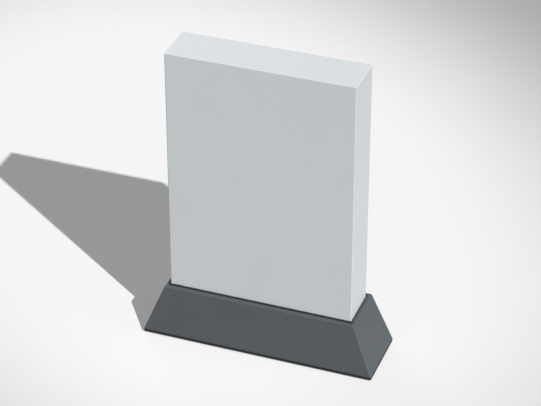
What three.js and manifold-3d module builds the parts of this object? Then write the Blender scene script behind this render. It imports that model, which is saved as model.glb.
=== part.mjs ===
// Cassette display stand: a flared slotted base that holds a closed cassette case upright.
// Millimetres, +Z up, front of the case towards -Y, spine of the case towards +X.
// The origin is on the table, under the middle of the base.

import * as THREE from 'three';
import { mergeVertices } from 'three/addons/utils/BufferGeometryUtils.js';
import Module from 'manifold-3d';

const wasm = await Module();
wasm.setup();

// Driving sizes of the compact cassette
const cassetteLength = 100.4;
const cassetteWidth = 63.8;
const cassetteDepth = 8.7;
const cassetteCorner = 2.5;
const leastCorner = 0.6;
const cassetteWall = 1.2;
const cassetteEdgeWall = 1.5;
const headDepth = 12;
const headReach = 13.5;
const headSpan = 66;
const headTaper = 2;
const headOpeningWidth = 9;
const headOpeningSpacing = 18;
const capstanHoleRadius = 3;
const capstanHoleSpacing = 53;
const capstanHoleFromHead = 8.5;
const guideHoleRadius = 2.2;
const guideHoleGap = 2.2;

// Driving sizes of the reels and the tape
const hubSpacing = 42.5;
const hubFromHead = 35;
const hubRadius = 11;
const hubCollarRadius = 6;
const hubCollarStand = 0.5;
const hubBoreRadius = 5;
const hubTeeth = 6;
const hubToothLength = 1.4;
const hubToothWidth = 1.4;
const hubHoleClearance = 0.3;
const clipWidth = 4.7;
const clipLength = 2.6;
const clipClearance = 0.15;
const tapeWidth = 3.81;
const tapeLength = 66000;
const tapeThickness = 0.016;
const tapeRibbonThickness = 0.15;
const tapeClearance = 0.15;
const packClearance = 0.1;
const sheetThickness = 0.12;
const sheetClearance = 0.3;
const sheetMargin = 0.4;

// Driving sizes of the rollers, the pad and the shield
const rollerRadius = 3;
const rollerHeight = 4.4;
const rollerFromHead = 7;
const rollerFromEnd = 9.7;
const rollerPinRadius = 0.75;
const rollerPinClearance = 0.25;
const pinEndClearance = 0.1;
const padLength = 6;
const padHeight = 3;
const padThickness = 1.5;
const padClearance = 0.3;
const springThickness = 0.2;
const springSpan = 28;
const springEnd = 5;
const springFlat = 10;
const springRise = 1.8;
const springHeight = 3.4;
const shieldLength = 22;
const shieldHeight = 5;
const shieldThickness = 0.4;
const shieldPostWidth = 2.2;
const shieldPostDepth = 1.2;
const smallGap = 0.3;

// Driving sizes of the cassette's screws and windows
const bossRadius = 2;
const bossFromEnd = 3.8;
const bossFromHead = 5;
const bossFromBack = 3.9;
const middleBossGap = 0.4;
const smallScrewRadius = 0.9;
const smallScrewHeadRadius = 1.6;
const smallScrewHeadHeight = 1;
const smallScrewReach = 2.6;
const smallScrewClearance = 0.2;
const pilotClearance = 0.05;
const smallHeadClearance = 0.2;
const windowMargin = 2.2;
const windowHeight = 9;
const windowClearance = 0.3;
const windowFlange = 1.2;
const windowFlangeThickness = 0.5;

// Driving sizes of the cassette case: room left round the cassette, and walls
const caseWall = 1.4;
const endRoom = 2.9;
const spineRoom = 0.6;
const openingRoom = 2.8;
const faceRoom = 1.2;
const caseEdge = 0.5;
const caseCorner = 0.8;
const caseSeam = 0.2;
const spineFlapWidth = 11.4;
const earThickness = 1.2;
const earFrontGap = 0.6;
const hingePinRadius = 1.5;
const hingeFromFaces = 5.5;
const pegRadius = 3.2;
const pegRibs = 3;
const pegRibReach = 4.6;
const pegRibWidth = 1.2;
const pegPastMiddle = 1;
const cardThickness = 0.3;
const cardGap = 0.05;
const cardFrontWidth = 65;
const cardFlapWidth = 9.5;
const cardOverhang = 0.6;

// Driving sizes of the base
const slotDepth = 12.5;
const slotClearance = 0.25;
const liningThickness = 0.4;
const liningStand = 0.7;
const liningCornerGap = 0.1;
const rimSide = 0.95;
const rimFront = 1.65;
const flareSide = 7.9;
const flareFront = 2.3;
const baseWall = 1.8;
const slotWall = 1.5;
const slotFloor = 2;
const wellTopWidth = 0.8;
const barRibHeight = 0.5;
const barRibWidth = 1.5;
const barRibSpacing = 20;
const barThickness = 4;
const barEndInset = 3.65;
const barSideInset = 1.25;
const barClearance = 0.3;
const barEdge = 0.4;
const plateThickness = 1.1;
const plateRibHeight = 1.5;
const plateRibWidth = 1.2;
const footStand = 0.5;
const footRecess = 0.5;
const footRadius = 3.5;
const footEdge = 0.25;
const footClearance = 0.15;
const footMargin = 1.3;
const footToScrew = 1.6;
const screwInset = 5.35;
const screwFromFront = 6.2;
const screwRadius = 0.9;
const screwHeadRadius = 2;
const screwHeadHeight = 1;
const screwLength = 6;
const screwPoint = 0.8;
const screwClearance = 0.1;
const crossLength = 2.2;
const crossWidth = 0.5;
const crossDepth = 0.5;
const screwBossRadius = 2.2;
const pilotSpare = 0.9;
const pilotSkin = 2;

// Sides of the round pieces
const packSides = 40;
const roundSides = 28;
const smallSides = 16;
const arcSteps = 6;

// Case sizes that follow from the cassette
const caseHeight = cassetteLength + 2 * endRoom + 2 * caseWall;
const caseWidth = cassetteWidth + spineRoom + openingRoom + 2 * caseWall;
const caseDepth = headDepth + 2 * faceRoom + 2 * caseWall;
const caseHalfX = caseWidth / 2;
const caseHalfY = caseDepth / 2;
const innerHalfX = caseHalfX - caseWall;
const innerHalfY = caseHalfY - caseWall;
const innerTop = caseHeight - caseWall;

// Base sizes that follow from the case
const slotHalfX = caseHalfX + slotClearance + liningThickness;
const slotHalfY = caseHalfY + slotClearance + liningThickness;
const rimHalfX = slotHalfX + rimSide;
const rimHalfY = slotHalfY + rimFront;
const baseHalfX = rimHalfX + flareSide;
const baseHalfY = rimHalfY + flareFront;
const plateTop = footStand + plateThickness;
const slotUnderside = plateTop + barThickness + barRibHeight;
const slotBottom = slotUnderside + slotFloor;
const caseSeat = slotBottom + liningThickness;
const rimHeight = caseSeat + slotDepth;

// Cassette sizes that are used by more than one piece
const halfCassette = cassetteDepth / 2;
const cavityHalf = halfCassette - cassetteWall;
const hubHoleRadius = hubCollarRadius + hubHoleClearance;
const packRadius = Math.sqrt(hubRadius ** 2 + (tapeLength * tapeThickness) / 2 / Math.PI);
const rollerAlong = cassetteLength / 2 - rollerFromEnd;
const middleBossFromHead = headReach + middleBossGap + bossRadius;
const tapeRunFromHead = rollerFromHead - rollerRadius - tapeClearance;
const padFromHead = tapeRunFromHead + padClearance;
const springFromHead = padFromHead + padThickness;
const shieldFromHead = springFromHead + springRise + springThickness + smallGap;
const CUT = 1;
const MERGE = 1e-4;

// Solids

function solid(geometry) {
  const bare = geometry.index ? geometry.toNonIndexed() : geometry.clone();
  bare.deleteAttribute('normal');
  bare.deleteAttribute('uv');
  const merged = mergeVertices(bare, MERGE);
  return new wasm.Manifold(
    new wasm.Mesh({
      numProp: 3,
      vertProperties: new Float32Array(merged.attributes.position.array),
      triVerts: new Uint32Array(merged.index.array),
    }),
  );
}

function join(first, ...others) {
  return others.reduce((whole, other) => whole.add(other), first);
}

function cut(first, ...others) {
  return others.reduce((whole, other) => whole.subtract(other), first);
}

function geometryOf(manifold) {
  const mesh = manifold.getMesh();
  const geometry = new THREE.BufferGeometry();
  const points = new Float32Array((mesh.vertProperties.length / mesh.numProp) * 3);
  for (let i = 0; i < points.length / 3; i += 1) {
    for (let k = 0; k < 3; k += 1) points[3 * i + k] = mesh.vertProperties[mesh.numProp * i + k];
  }
  geometry.setAttribute('position', new THREE.BufferAttribute(points, 3));
  geometry.setIndex(new THREE.BufferAttribute(new Uint32Array(mesh.triVerts), 1));
  const faceted = geometry.toNonIndexed();
  faceted.computeVertexNormals();
  return faceted;
}

function block(low, high) {
  const size = high.map((value, axis) => value - low[axis]);
  const middle = high.map((value, axis) => (value + low[axis]) / 2);
  return solid(new THREE.BoxGeometry(...size).translate(...middle));
}

// A box whose top is smaller than its foot, for the flared base and its hollow
function taperedBlock(footX, footY, low, topX, topY, high) {
  const geometry = new THREE.BoxGeometry(2, 2, 2);
  const points = geometry.attributes.position;
  for (let i = 0; i < points.count; i += 1) {
    const atTop = points.getZ(i) > 0;
    points.setX(i, points.getX(i) * (atTop ? topX : footX));
    points.setY(i, points.getY(i) * (atTop ? topY : footY));
    points.setZ(i, atTop ? high : low);
  }
  return solid(geometry);
}

function post(radius, low, high, x, y, sides = smallSides) {
  const geometry = new THREE.CylinderGeometry(radius, radius, high - low, sides);
  geometry.rotateX(Math.PI / 2);
  geometry.translate(x, y, (low + high) / 2);
  return solid(geometry);
}

// A round piece whose axis runs from front to back
function disc(radius, low, high, x = 0, z = 0, sides = roundSides) {
  const geometry = new THREE.CylinderGeometry(radius, radius, high - low, sides);
  geometry.translate(x, (low + high) / 2, z);
  return solid(geometry);
}

function outline(points) {
  return new THREE.Shape(points.map(([a, b]) => new THREE.Vector2(a, b)));
}

function roundedOutline(lowX, highX, lowZ, highZ, radius) {
  const shape = new THREE.Shape();
  shape.moveTo(lowX + radius, lowZ);
  shape.lineTo(highX - radius, lowZ);
  shape.absarc(highX - radius, lowZ + radius, radius, -Math.PI / 2, 0, false);
  shape.absarc(highX - radius, highZ - radius, radius, 0, Math.PI / 2, false);
  shape.absarc(lowX + radius, highZ - radius, radius, Math.PI / 2, Math.PI, false);
  shape.absarc(lowX + radius, lowZ + radius, radius, Math.PI, Math.PI * 1.5, false);
  return shape;
}

// An outline drawn as seen from the front (x, z) and given its thickness along y
function sheet(shape, low, high, bevel = 0) {
  const geometry = new THREE.ExtrudeGeometry(shape, {
    depth: high - low - 2 * bevel,
    curveSegments: arcSteps,
    bevelEnabled: bevel > 0,
    bevelThickness: bevel,
    bevelSize: bevel,
    bevelOffset: -bevel,
    bevelSegments: 2,
  });
  geometry.rotateX(Math.PI / 2);
  geometry.translate(0, high - bevel, 0);
  return solid(geometry);
}

// An outline drawn as seen from above (x, y) and given its height along z
function column(shape, low, high) {
  const geometry = new THREE.ExtrudeGeometry(shape, {
    depth: high - low,
    curveSegments: arcSteps,
    bevelEnabled: false,
  });
  geometry.translate(0, 0, low);
  return solid(geometry);
}

function turned(profile, sides = smallSides) {
  const points = profile.map(([radius, height]) => new THREE.Vector2(radius, height));
  const geometry = new THREE.LatheGeometry(points, sides);
  geometry.rotateX(Math.PI / 2);
  return solid(geometry);
}

// Base pieces, in the stand's own frame

function screwPlaces() {
  const x = baseHalfX - screwInset;
  const y = baseHalfY - screwFromFront;
  return [[-x, -y], [x, -y], [x, y], [-x, y]];
}

function footPlaces() {
  const x = baseHalfX - screwInset - screwHeadRadius - footToScrew - footRadius;
  const y = baseHalfY - footMargin - footRadius;
  return [[-x, -y], [x, -y], [x, y], [-x, y]];
}

function baseShell() {
  const slopeX = (baseHalfX - rimHalfX) / (rimHeight - plateTop);
  const slopeY = (baseHalfY - rimHalfY) / (rimHeight - plateTop);
  const hollowHeight = slotUnderside - plateTop;
  const hollowX = baseHalfX - baseWall;
  const hollowY = baseHalfY - baseWall;
  let shell = taperedBlock(baseHalfX, baseHalfY, plateTop, rimHalfX, rimHalfY, rimHeight);
  shell = cut(
    shell,
    block([-slotHalfX, -slotHalfY, slotBottom], [slotHalfX, slotHalfY, rimHeight + CUT]),
    taperedBlock(
      hollowX + slopeX * CUT,
      hollowY + slopeY * CUT,
      plateTop - CUT,
      hollowX - slopeX * hollowHeight,
      hollowY - slopeY * hollowHeight,
      slotUnderside,
    ),
  );
  const wellInner = slotHalfX + slotWall;
  const wellTop = plateTop + (hollowX - wellInner - wellTopWidth) / slopeX;
  const wellHalfY = rimHalfY - baseWall;
  for (const side of [-1, 1]) {
    const well = outline([
      [side * wellInner, plateTop],
      [side * hollowX, plateTop],
      [side * (wellInner + wellTopWidth), wellTop],
      [side * wellInner, wellTop],
    ]);
    shell = cut(shell, sheet(well, -wellHalfY, wellHalfY));
  }
  const pilotTop = footStand + screwLength + pilotSpare;
  const bossTop = pilotTop + pilotSkin;
  const inside = taperedBlock(baseHalfX, baseHalfY, plateTop, rimHalfX, rimHalfY, rimHeight);
  for (const [x, y] of screwPlaces()) {
    shell = join(shell, post(screwBossRadius, plateTop, bossTop, x, y).intersect(inside));
  }
  for (const [x, y] of screwPlaces()) {
    shell = cut(shell, post(screwRadius + pilotClearance, plateTop - CUT, pilotTop, x, y));
  }
  for (const x of [-barRibSpacing, 0, barRibSpacing]) {
    const low = [x - barRibWidth / 2, -(slotHalfY - 2 * barSideInset), plateTop + barThickness];
    const high = [x + barRibWidth / 2, slotHalfY - 2 * barSideInset, slotUnderside + CUT];
    shell = join(shell, block(low, high));
  }
  return shell;
}

function basePlate() {
  const ribX = slotHalfX - barEndInset + barClearance;
  const ribY = slotHalfY - barSideInset + barClearance;
  const ribOutX = ribX + plateRibWidth;
  const ribOutY = ribY + plateRibWidth;
  const ribTop = plateTop + plateRibHeight;
  let plate = block([-baseHalfX, -baseHalfY, footStand], [baseHalfX, baseHalfY, plateTop]);
  plate = join(
    plate,
    cut(
      block([-ribOutX, -ribOutY, plateTop - plateThickness / 2], [ribOutX, ribOutY, ribTop]),
      block([-ribX, -ribY, plateTop], [ribX, ribY, ribTop + CUT]),
    ),
  );
  const open = screwRadius + screwClearance;
  const sink = [
    [0, -CUT],
    [screwHeadRadius + screwClearance, -CUT],
    [screwHeadRadius + screwClearance, 0],
    [open, screwHeadHeight + screwClearance / 2],
    [open, plateThickness + CUT],
    [0, plateThickness + CUT],
  ];
  for (const [x, y] of screwPlaces()) {
    plate = cut(plate, turned(sink).translate([x, y, footStand]));
  }
  for (const [x, y] of footPlaces()) {
    const recessTop = footStand + footRecess;
    plate = cut(plate, post(footRadius + footClearance, footStand - CUT, recessTop, x, y, roundSides));
  }
  return plate;
}

function ballastBar() {
  const x = slotHalfX - barEndInset;
  const y = slotHalfY - barSideInset;
  const shape = outline([
    [-x + barEdge, -y],
    [x - barEdge, -y],
    [x, -y + barEdge],
    [x, y - barEdge],
    [x - barEdge, y],
    [-x + barEdge, y],
    [-x, y - barEdge],
    [-x, -y + barEdge],
  ]);
  return column(shape, plateTop, plateTop + barThickness);
}

function baseScrew() {
  const body = turned([
    [0, 0],
    [screwHeadRadius, 0],
    [screwRadius, screwHeadHeight],
    [screwRadius, screwLength - screwPoint],
    [0, screwLength],
  ]);
  const along = crossLength / 2;
  const across = crossWidth / 2;
  return cut(
    body,
    block([-along, -across, -CUT], [along, across, crossDepth]),
    block([-across, -along, -CUT], [across, along, crossDepth]),
  );
}

function foot() {
  const height = footStand + footRecess;
  return turned(
    [
      [0, 0],
      [footRadius - footEdge, 0],
      [footRadius, footEdge],
      [footRadius, height],
      [0, height],
    ],
    roundSides,
  );
}

function slotLinings() {
  const x = slotHalfX;
  const y = slotHalfY;
  const t = liningThickness;
  const top = rimHeight + liningStand;
  const shortY = y - t - liningCornerGap;
  const shortX = x - t - liningCornerGap;
  return {
    slot_lining_front: block([-x, -y, slotBottom], [x, -y + t, top]),
    slot_lining_back: block([-x, y - t, slotBottom], [x, y, top]),
    slot_lining_left: block([-x, -shortY, slotBottom], [-x + t, shortY, top]),
    slot_lining_right: block([x - t, -shortY, slotBottom], [x, shortY, top]),
    slot_lining_floor: block([-shortX, -shortY, slotBottom], [shortX, shortY, caseSeat]),
  };
}

// Case pieces, in the case's own frame: its bottom end at z = 0

const hingeX = caseHalfX - hingeFromFaces;
const hingeY = caseHalfY - hingeFromFaces;
const cassetteHeadX = innerHalfX - spineRoom;
const cassetteMiddleZ = caseHeight / 2;

function caseBlock() {
  const shape = roundedOutline(-caseHalfX, caseHalfX, 0, caseHeight, caseCorner);
  return sheet(shape, -caseHalfY, caseHalfY, caseEdge);
}

// Seen from above, what lies behind the cassette and left of the slanted seam at the spine flap
function behindSeam(shift, frontY, backY) {
  const seamX = caseHalfX - spineFlapWidth - shift;
  return outline([
    [-caseHalfX - CUT, frontY],
    [seamX - (innerHalfY - frontY) - caseWall, frontY],
    [seamX + (backY - caseHalfY), backY],
    [-caseHalfX - CUT, backY],
  ]);
}

function caseLid() {
  const far = caseHalfX + CUT;
  const hollow = block([-far, -innerHalfY, caseWall], [innerHalfX, innerHalfY, innerTop]);
  const back = column(behindSeam(0, innerHalfY - CUT, caseHalfY + CUT), caseWall, innerTop);
  const notch = 2 * caseSeam + earThickness;
  const seamX = caseHalfX - spineFlapWidth - caseWall;
  const notchLow = [seamX - CUT, innerHalfY - CUT, caseWall];
  const notchHigh = [innerHalfX, caseHalfY + CUT, caseWall + notch];
  const liftNotch = innerTop - caseWall - notch;
  const lowNotch = block(notchLow, notchHigh);
  const pinLength = caseSeam + earThickness;
  return join(
    cut(caseBlock(), hollow, back, lowNotch, lowNotch.translate([0, 0, liftNotch])),
    post(hingePinRadius, caseWall / 2, caseWall + pinLength, hingeX, hingeY),
    post(hingePinRadius, innerTop - pinLength, innerTop + caseWall / 2, hingeX, hingeY),
  );
}

function trayEar() {
  const reach = hingeFromFaces - caseWall - caseSeam;
  const frontY = -innerHalfY + earFrontGap;
  const shape = new THREE.Shape();
  shape.moveTo(-innerHalfX - caseWall / 2, frontY);
  shape.lineTo(hingeX, frontY);
  shape.lineTo(hingeX + reach, hingeY);
  shape.absarc(hingeX, hingeY, reach, 0, Math.PI / 2, false);
  shape.lineTo(caseHalfX - spineFlapWidth - caseWall, hingeY + reach);
  shape.lineTo(caseHalfX - spineFlapWidth - caseWall, innerHalfY + caseWall / 2);
  shape.lineTo(-innerHalfX - caseWall / 2, innerHalfY + caseWall / 2);
  return shape;
}

function hubPeg() {
  const tip = -pegPastMiddle;
  const root = innerHalfY + caseWall / 2;
  let peg = disc(pegRadius, tip, root);
  for (let i = 0; i < pegRibs; i += 1) {
    const rib = block([0, tip, -pegRibWidth / 2], [pegRibReach, root, pegRibWidth / 2]);
    peg = join(peg, rib.rotate([0, 180 / hubTeeth + (360 / pegRibs) * i, 0]));
  }
  return peg;
}

function caseTray() {
  const low = caseWall + caseSeam;
  const high = innerTop - caseSeam;
  const far = caseHalfX + CUT;
  const panel = column(behindSeam(caseSeam * Math.SQRT2, innerHalfY, caseHalfY + CUT), low, high);
  const wall = block([-far, -innerHalfY + caseSeam, low], [-innerHalfX, innerHalfY, high]);
  const shaped = join(panel, wall).intersect(caseBlock());
  const ears = [column(trayEar(), low, low + earThickness), column(trayEar(), high - earThickness, high)];
  const hole = post(hingePinRadius + caseSeam, 0, caseHeight, hingeX, hingeY);
  const pegX = cassetteHeadX - hubFromHead;
  const pegs = [-1, 1].map((side) => {
    return hubPeg().translate([pegX, 0, cassetteMiddleZ + (side * hubSpacing) / 2]);
  });
  return join(cut(join(shaped, ...ears), hole), ...pegs);
}

function insertCard() {
  const x = innerHalfX - cardGap;
  const y = innerHalfY - cardGap;
  const t = cardThickness;
  const halfHeight = cassetteLength / 2 + cardOverhang;
  const shape = outline([
    [x - cardFrontWidth, -y],
    [x, -y],
    [x, y],
    [x - cardFlapWidth, y],
    [x - cardFlapWidth, y - t],
    [x - t, y - t],
    [x - t, -y + t],
    [x - cardFrontWidth, -y + t],
  ]);
  return column(shape, cassetteMiddleZ - halfHeight, cassetteMiddleZ + halfHeight);
}

// Cassette pieces, in the cassette's own frame: x = 0 at the head edge and falling away
// from it, z along its length with zero at the middle, y = 0 where the two halves meet

function bossPlaces() {
  const along = cassetteLength / 2 - bossFromEnd;
  const back = -(cassetteWidth - bossFromBack);
  return [
    [-bossFromHead, -along],
    [-bossFromHead, along],
    [back, along],
    [back, -along],
    [-middleBossFromHead, 0],
  ];
}

function cassetteOutline(inset) {
  return roundedOutline(
    -cassetteWidth + inset,
    -inset,
    -cassetteLength / 2 + inset,
    cassetteLength / 2 - inset,
    Math.max(cassetteCorner - inset, leastCorner),
  );
}

// A slab that spans from the joint plane to the front (side -1) or to the back (side 1)
function span(side, near, far) {
  return side < 0 ? [-far, -near] : [near, far];
}

function throughHoles(side) {
  const through = span(side, -CUT, headDepth);
  const holes = [];
  for (const along of [-hubSpacing / 2, hubSpacing / 2]) {
    holes.push(disc(hubHoleRadius, ...through, -hubFromHead, along));
  }
  for (const end of [-1, 1]) {
    const capstan = (end * capstanHoleSpacing) / 2;
    const guide = capstan + end * (capstanHoleRadius + guideHoleGap);
    holes.push(disc(capstanHoleRadius, ...through, -capstanHoleFromHead, capstan, smallSides));
    holes.push(disc(guideHoleRadius, ...through, -capstanHoleFromHead, guide, smallSides));
  }
  const halfWindow = hubSpacing / 2 - hubHoleRadius - windowMargin;
  const [low, high] = through;
  const x = -hubFromHead;
  const tall = windowHeight / 2;
  holes.push(block([x - tall, low, -halfWindow], [x + tall, high, halfWindow]));
  return holes;
}

function headOpenings(side) {
  const [low, high] = span(side, -CUT, cavityHalf);
  return [-headOpeningSpacing, 0, headOpeningSpacing].map((along) => {
    const half = headOpeningWidth / 2;
    return block([-cassetteEdgeWall - CUT, low, along - half], [CUT, high, along + half]);
  });
}

function shieldPosts(side) {
  const [low, high] = span(side, 0, cavityHalf + cassetteWall / 2);
  const inner = shieldLength / 2 + smallGap;
  return [-1, 1].map((end) => {
    const ends = [end * inner, end * (inner + shieldPostWidth)].sort((a, b) => a - b);
    return block([-shieldFromHead - shieldPostDepth, low, ends[0]], [-shieldFromHead, high, ends[1]]);
  });
}

function cassetteHalf(side) {
  const hollow = sheet(cassetteOutline(cassetteEdgeWall), ...span(side, -CUT, cavityHalf));
  const halfHead = headSpan / 2;
  const raised = outline([
    [0, -halfHead],
    [0, halfHead],
    [-headReach, halfHead - headTaper],
    [-headReach, -halfHead + headTaper],
  ]);
  const raisedPad = sheet(raised, ...span(side, cavityHalf + cassetteWall / 2, headDepth / 2));
  let half = cut(sheet(cassetteOutline(0), ...span(side, 0, halfCassette)), hollow);
  half = join(half, raisedPad, ...shieldPosts(side));
  for (const [x, z] of bossPlaces()) {
    half = join(half, disc(bossRadius, ...span(side, 0, cavityHalf + cassetteWall / 2), x, z, smallSides));
  }
  half = cut(half, ...throughHoles(side), ...headOpenings(side));
  for (const [x, z] of bossPlaces()) {
    if (side < 0) {
      const clear = smallScrewRadius + smallScrewClearance;
      const sinkFloor = halfCassette - smallScrewHeadHeight - smallHeadClearance / 2;
      const sinkRadius = smallScrewHeadRadius + smallHeadClearance;
      half = cut(
        half,
        disc(clear, ...span(side, -CUT, headDepth), x, z, smallSides),
        disc(sinkRadius, ...span(side, sinkFloor, headDepth), x, z, smallSides),
      );
    } else {
      const pilotEnd = smallScrewReach + smallGap;
      half = cut(half, disc(smallScrewRadius + pilotClearance, -CUT, pilotEnd, x, z, smallSides));
    }
  }
  return half;
}

function cassetteScrew() {
  const seat = -(halfCassette - smallScrewHeadHeight - smallHeadClearance / 2);
  const head = disc(smallScrewHeadRadius, seat - smallScrewHeadHeight, seat, 0, 0, smallSides);
  const shank = disc(smallScrewRadius, seat - smallScrewHeadHeight / 2, smallScrewReach, 0, 0, smallSides);
  return join(head, shank);
}

function shellWindow(side) {
  const long = hubSpacing / 2 - hubHoleRadius - windowMargin - windowClearance;
  const tall = windowHeight / 2 - windowClearance;
  const flangeLong = long + windowClearance + windowFlange;
  const flangeTall = tall + windowClearance + windowFlange;
  const x = -hubFromHead;
  const pane = span(side, cavityHalf - windowFlangeThickness, halfCassette);
  const flange = span(side, cavityHalf - windowFlangeThickness, cavityHalf);
  return join(
    block([x - tall, pane[0], -long], [x + tall, pane[1], long]),
    block([x - flangeTall, flange[0], -flangeLong], [x + flangeTall, flange[1], flangeLong]),
  );
}

function slipSheet(side) {
  const near = tapeWidth / 2 + sheetClearance;
  const halfLength = cassetteLength / 2 - bossFromEnd - bossRadius - sheetMargin;
  const start = middleBossFromHead + bossRadius + sheetMargin;
  const end = cassetteWidth - cassetteEdgeWall - sheetMargin;
  const body = block(
    [-end, span(side, near, near + sheetThickness)[0], -halfLength],
    [-start, span(side, near, near + sheetThickness)[1], halfLength],
  );
  const holes = [-1, 1].map((end) => {
    const through = span(side, 0, halfCassette);
    return disc(hubHoleRadius, ...through, -hubFromHead, (end * hubSpacing) / 2);
  });
  return cut(body, ...holes);
}

// Hub with its collar, six teeth and the notch for the leader clip, about its own axis
function hub() {
  const halfTape = tapeWidth / 2;
  const collar = cavityHalf + hubCollarStand;
  let body = join(disc(hubRadius, -halfTape, halfTape), disc(hubCollarRadius, -collar, collar));
  body = cut(body, disc(hubBoreRadius, -headDepth, headDepth));
  for (let i = 0; i < hubTeeth; i += 1) {
    const reach = (hubBoreRadius + hubCollarRadius) / 2;
    const low = [hubBoreRadius - hubToothLength, -collar, -hubToothWidth / 2];
    const tooth = block(low, [reach, collar, hubToothWidth / 2]);
    body = join(body, tooth.rotate([0, (360 / hubTeeth) * i, 0]));
  }
  const inner = hubRadius - clipLength - clipClearance;
  const half = clipWidth / 2 + clipClearance;
  return cut(body, block([-half, -headDepth, inner], [half, headDepth, hubRadius + CUT]));
}

function hubClip() {
  const inner = hubRadius - clipLength;
  const halfTape = tapeWidth / 2;
  const bar = block([-clipWidth / 2, -halfTape, inner], [clipWidth / 2, halfTape, hubRadius + CUT]);
  return bar.intersect(disc(hubRadius, -halfTape, halfTape));
}

function tapePack() {
  const halfTape = tapeWidth / 2;
  return cut(
    disc(packRadius, -halfTape, halfTape, 0, 0, packSides),
    disc(hubRadius + packClearance, -headDepth, headDepth),
  );
}

function roller() {
  const half = rollerHeight / 2;
  const bore = rollerPinRadius + rollerPinClearance;
  return cut(disc(rollerRadius, -half, half), disc(bore, -headDepth, headDepth, 0, 0, smallSides));
}

function rollerPin() {
  const half = cavityHalf - pinEndClearance;
  return disc(rollerPinRadius, -half, half, 0, 0, smallSides);
}

// A thin strip that follows points (x, z) and lies to the right of their direction
function strip(points, thickness, low, high) {
  const outer = points.map((point, i) => {
    const before = points[Math.max(i - 1, 0)];
    const after = points[Math.min(i + 1, points.length - 1)];
    const way = after.clone().sub(before).normalize();
    return new THREE.Vector2(point.x + way.y * thickness, point.y - way.x * thickness);
  });
  return sheet(new THREE.Shape([...points, ...outer.reverse()]), low, high);
}

// The free tape: off one reel, round its roller, along the head edge, and back to the other
function tapeSpan() {
  const reel = new THREE.Vector2(-hubFromHead, hubSpacing / 2);
  const corner = new THREE.Vector2(-rollerFromHead, rollerAlong);
  const reelReach = packRadius + tapeClearance;
  const cornerReach = rollerRadius + tapeClearance;
  const between = corner.clone().sub(reel);
  const start = between.angle() + Math.acos((reelReach - cornerReach) / between.length());
  const arcReach = cornerReach / Math.cos(start / arcSteps / 2);
  const offset = (centre, reach, angle) => {
    return new THREE.Vector2(reach * Math.cos(angle), reach * Math.sin(angle)).add(centre);
  };
  const upper = [offset(reel, reelReach, start)];
  for (let i = 0; i < arcSteps; i += 1) {
    upper.push(offset(corner, arcReach, start * (1 - (i + 0.5) / arcSteps)));
  }
  const lower = upper.map((point) => new THREE.Vector2(point.x, -point.y)).reverse();
  return strip([...upper, ...lower], -tapeRibbonThickness, -tapeWidth / 2, tapeWidth / 2);
}

function padSpring() {
  const front = -springFromHead;
  const back = front - springRise;
  const half = springSpan / 2;
  const points = [
    [back, -half],
    [back, -half + springEnd],
    [front, -springFlat / 2],
    [front, springFlat / 2],
    [back, half - springEnd],
    [back, half],
  ].map(([x, z]) => new THREE.Vector2(x, z));
  return strip(points.reverse(), springThickness, -springHeight / 2, springHeight / 2);
}

function pressurePad() {
  const front = -padFromHead;
  const low = [front - padThickness, -padHeight / 2, -padLength / 2];
  return block(low, [front, padHeight / 2, padLength / 2]);
}

function shieldPlate() {
  const front = -shieldFromHead;
  const low = [front - shieldThickness, -shieldHeight / 2, -shieldLength / 2];
  return block(low, [front, shieldHeight / 2, shieldLength / 2]);
}

// Finishes

function finish(color, roughness, metalness = 0) {
  return new THREE.MeshStandardMaterial({ color, roughness, metalness });
}

const darkPlastic = finish(0x5b6366, 0.6);
const plateFinish = finish(0x2e3335, 0.65);
const feltFinish = finish(0x2a2e30, 0.95);
const rubberFinish = finish(0x1d1f20, 0.9);
const steelFinish = finish(0x9a9da0, 0.35, 1);
const caseFinish = finish(0xd3d8da, 0.45);
const cardFinish = finish(0xe8e6e0, 0.85);
const shellFinish = finish(0x3a3d40, 0.5);
const windowFinish = finish(0xcfd8dc, 0.1);
const hubFinish = finish(0xe6e4dc, 0.5);
const tapeFinish = finish(0x3b2a22, 0.35);
const filmFinish = finish(0x4c5054, 0.3);
const bronzeFinish = finish(0xb58a4a, 0.35, 1);
const padFinish = finish(0xb9a98c, 0.95);

// Assembly

function piece(name, shape, material, place = [0, 0, 0]) {
  const mesh = new THREE.Mesh(geometryOf(shape), material);
  mesh.name = name;
  mesh.position.set(...place);
  return mesh;
}

function base() {
  const group = new THREE.Group();
  group.add(piece('base_shell', baseShell(), darkPlastic));
  group.add(piece('base_plate', basePlate(), plateFinish));
  group.add(piece('ballast_bar', ballastBar(), steelFinish));
  screwPlaces().forEach(([x, y], i) => {
    group.add(piece(`base_screw_${i + 1}`, baseScrew(), steelFinish, [x, y, footStand]));
  });
  footPlaces().forEach(([x, y], i) => {
    group.add(piece(`foot_${i + 1}`, foot(), rubberFinish, [x, y, 0]));
  });
  for (const [name, shape] of Object.entries(slotLinings())) {
    group.add(piece(name, shape, feltFinish));
  }
  return group;
}

function reel(name, side) {
  const group = new THREE.Group();
  group.position.set(-hubFromHead, 0, (side * hubSpacing) / 2);
  group.add(piece(`${name}_hub`, hub(), hubFinish));
  group.add(piece(`${name}_hub_clip`, hubClip(), hubFinish));
  group.add(piece(`${name}_tape_pack`, tapePack(), tapeFinish));
  return group;
}

function guideRoller(name, side) {
  const group = new THREE.Group();
  group.position.set(-rollerFromHead, 0, side * rollerAlong);
  group.add(piece(`${name}_roller`, roller(), hubFinish));
  group.add(piece(`${name}_roller_pin`, rollerPin(), steelFinish));
  return group;
}

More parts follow.
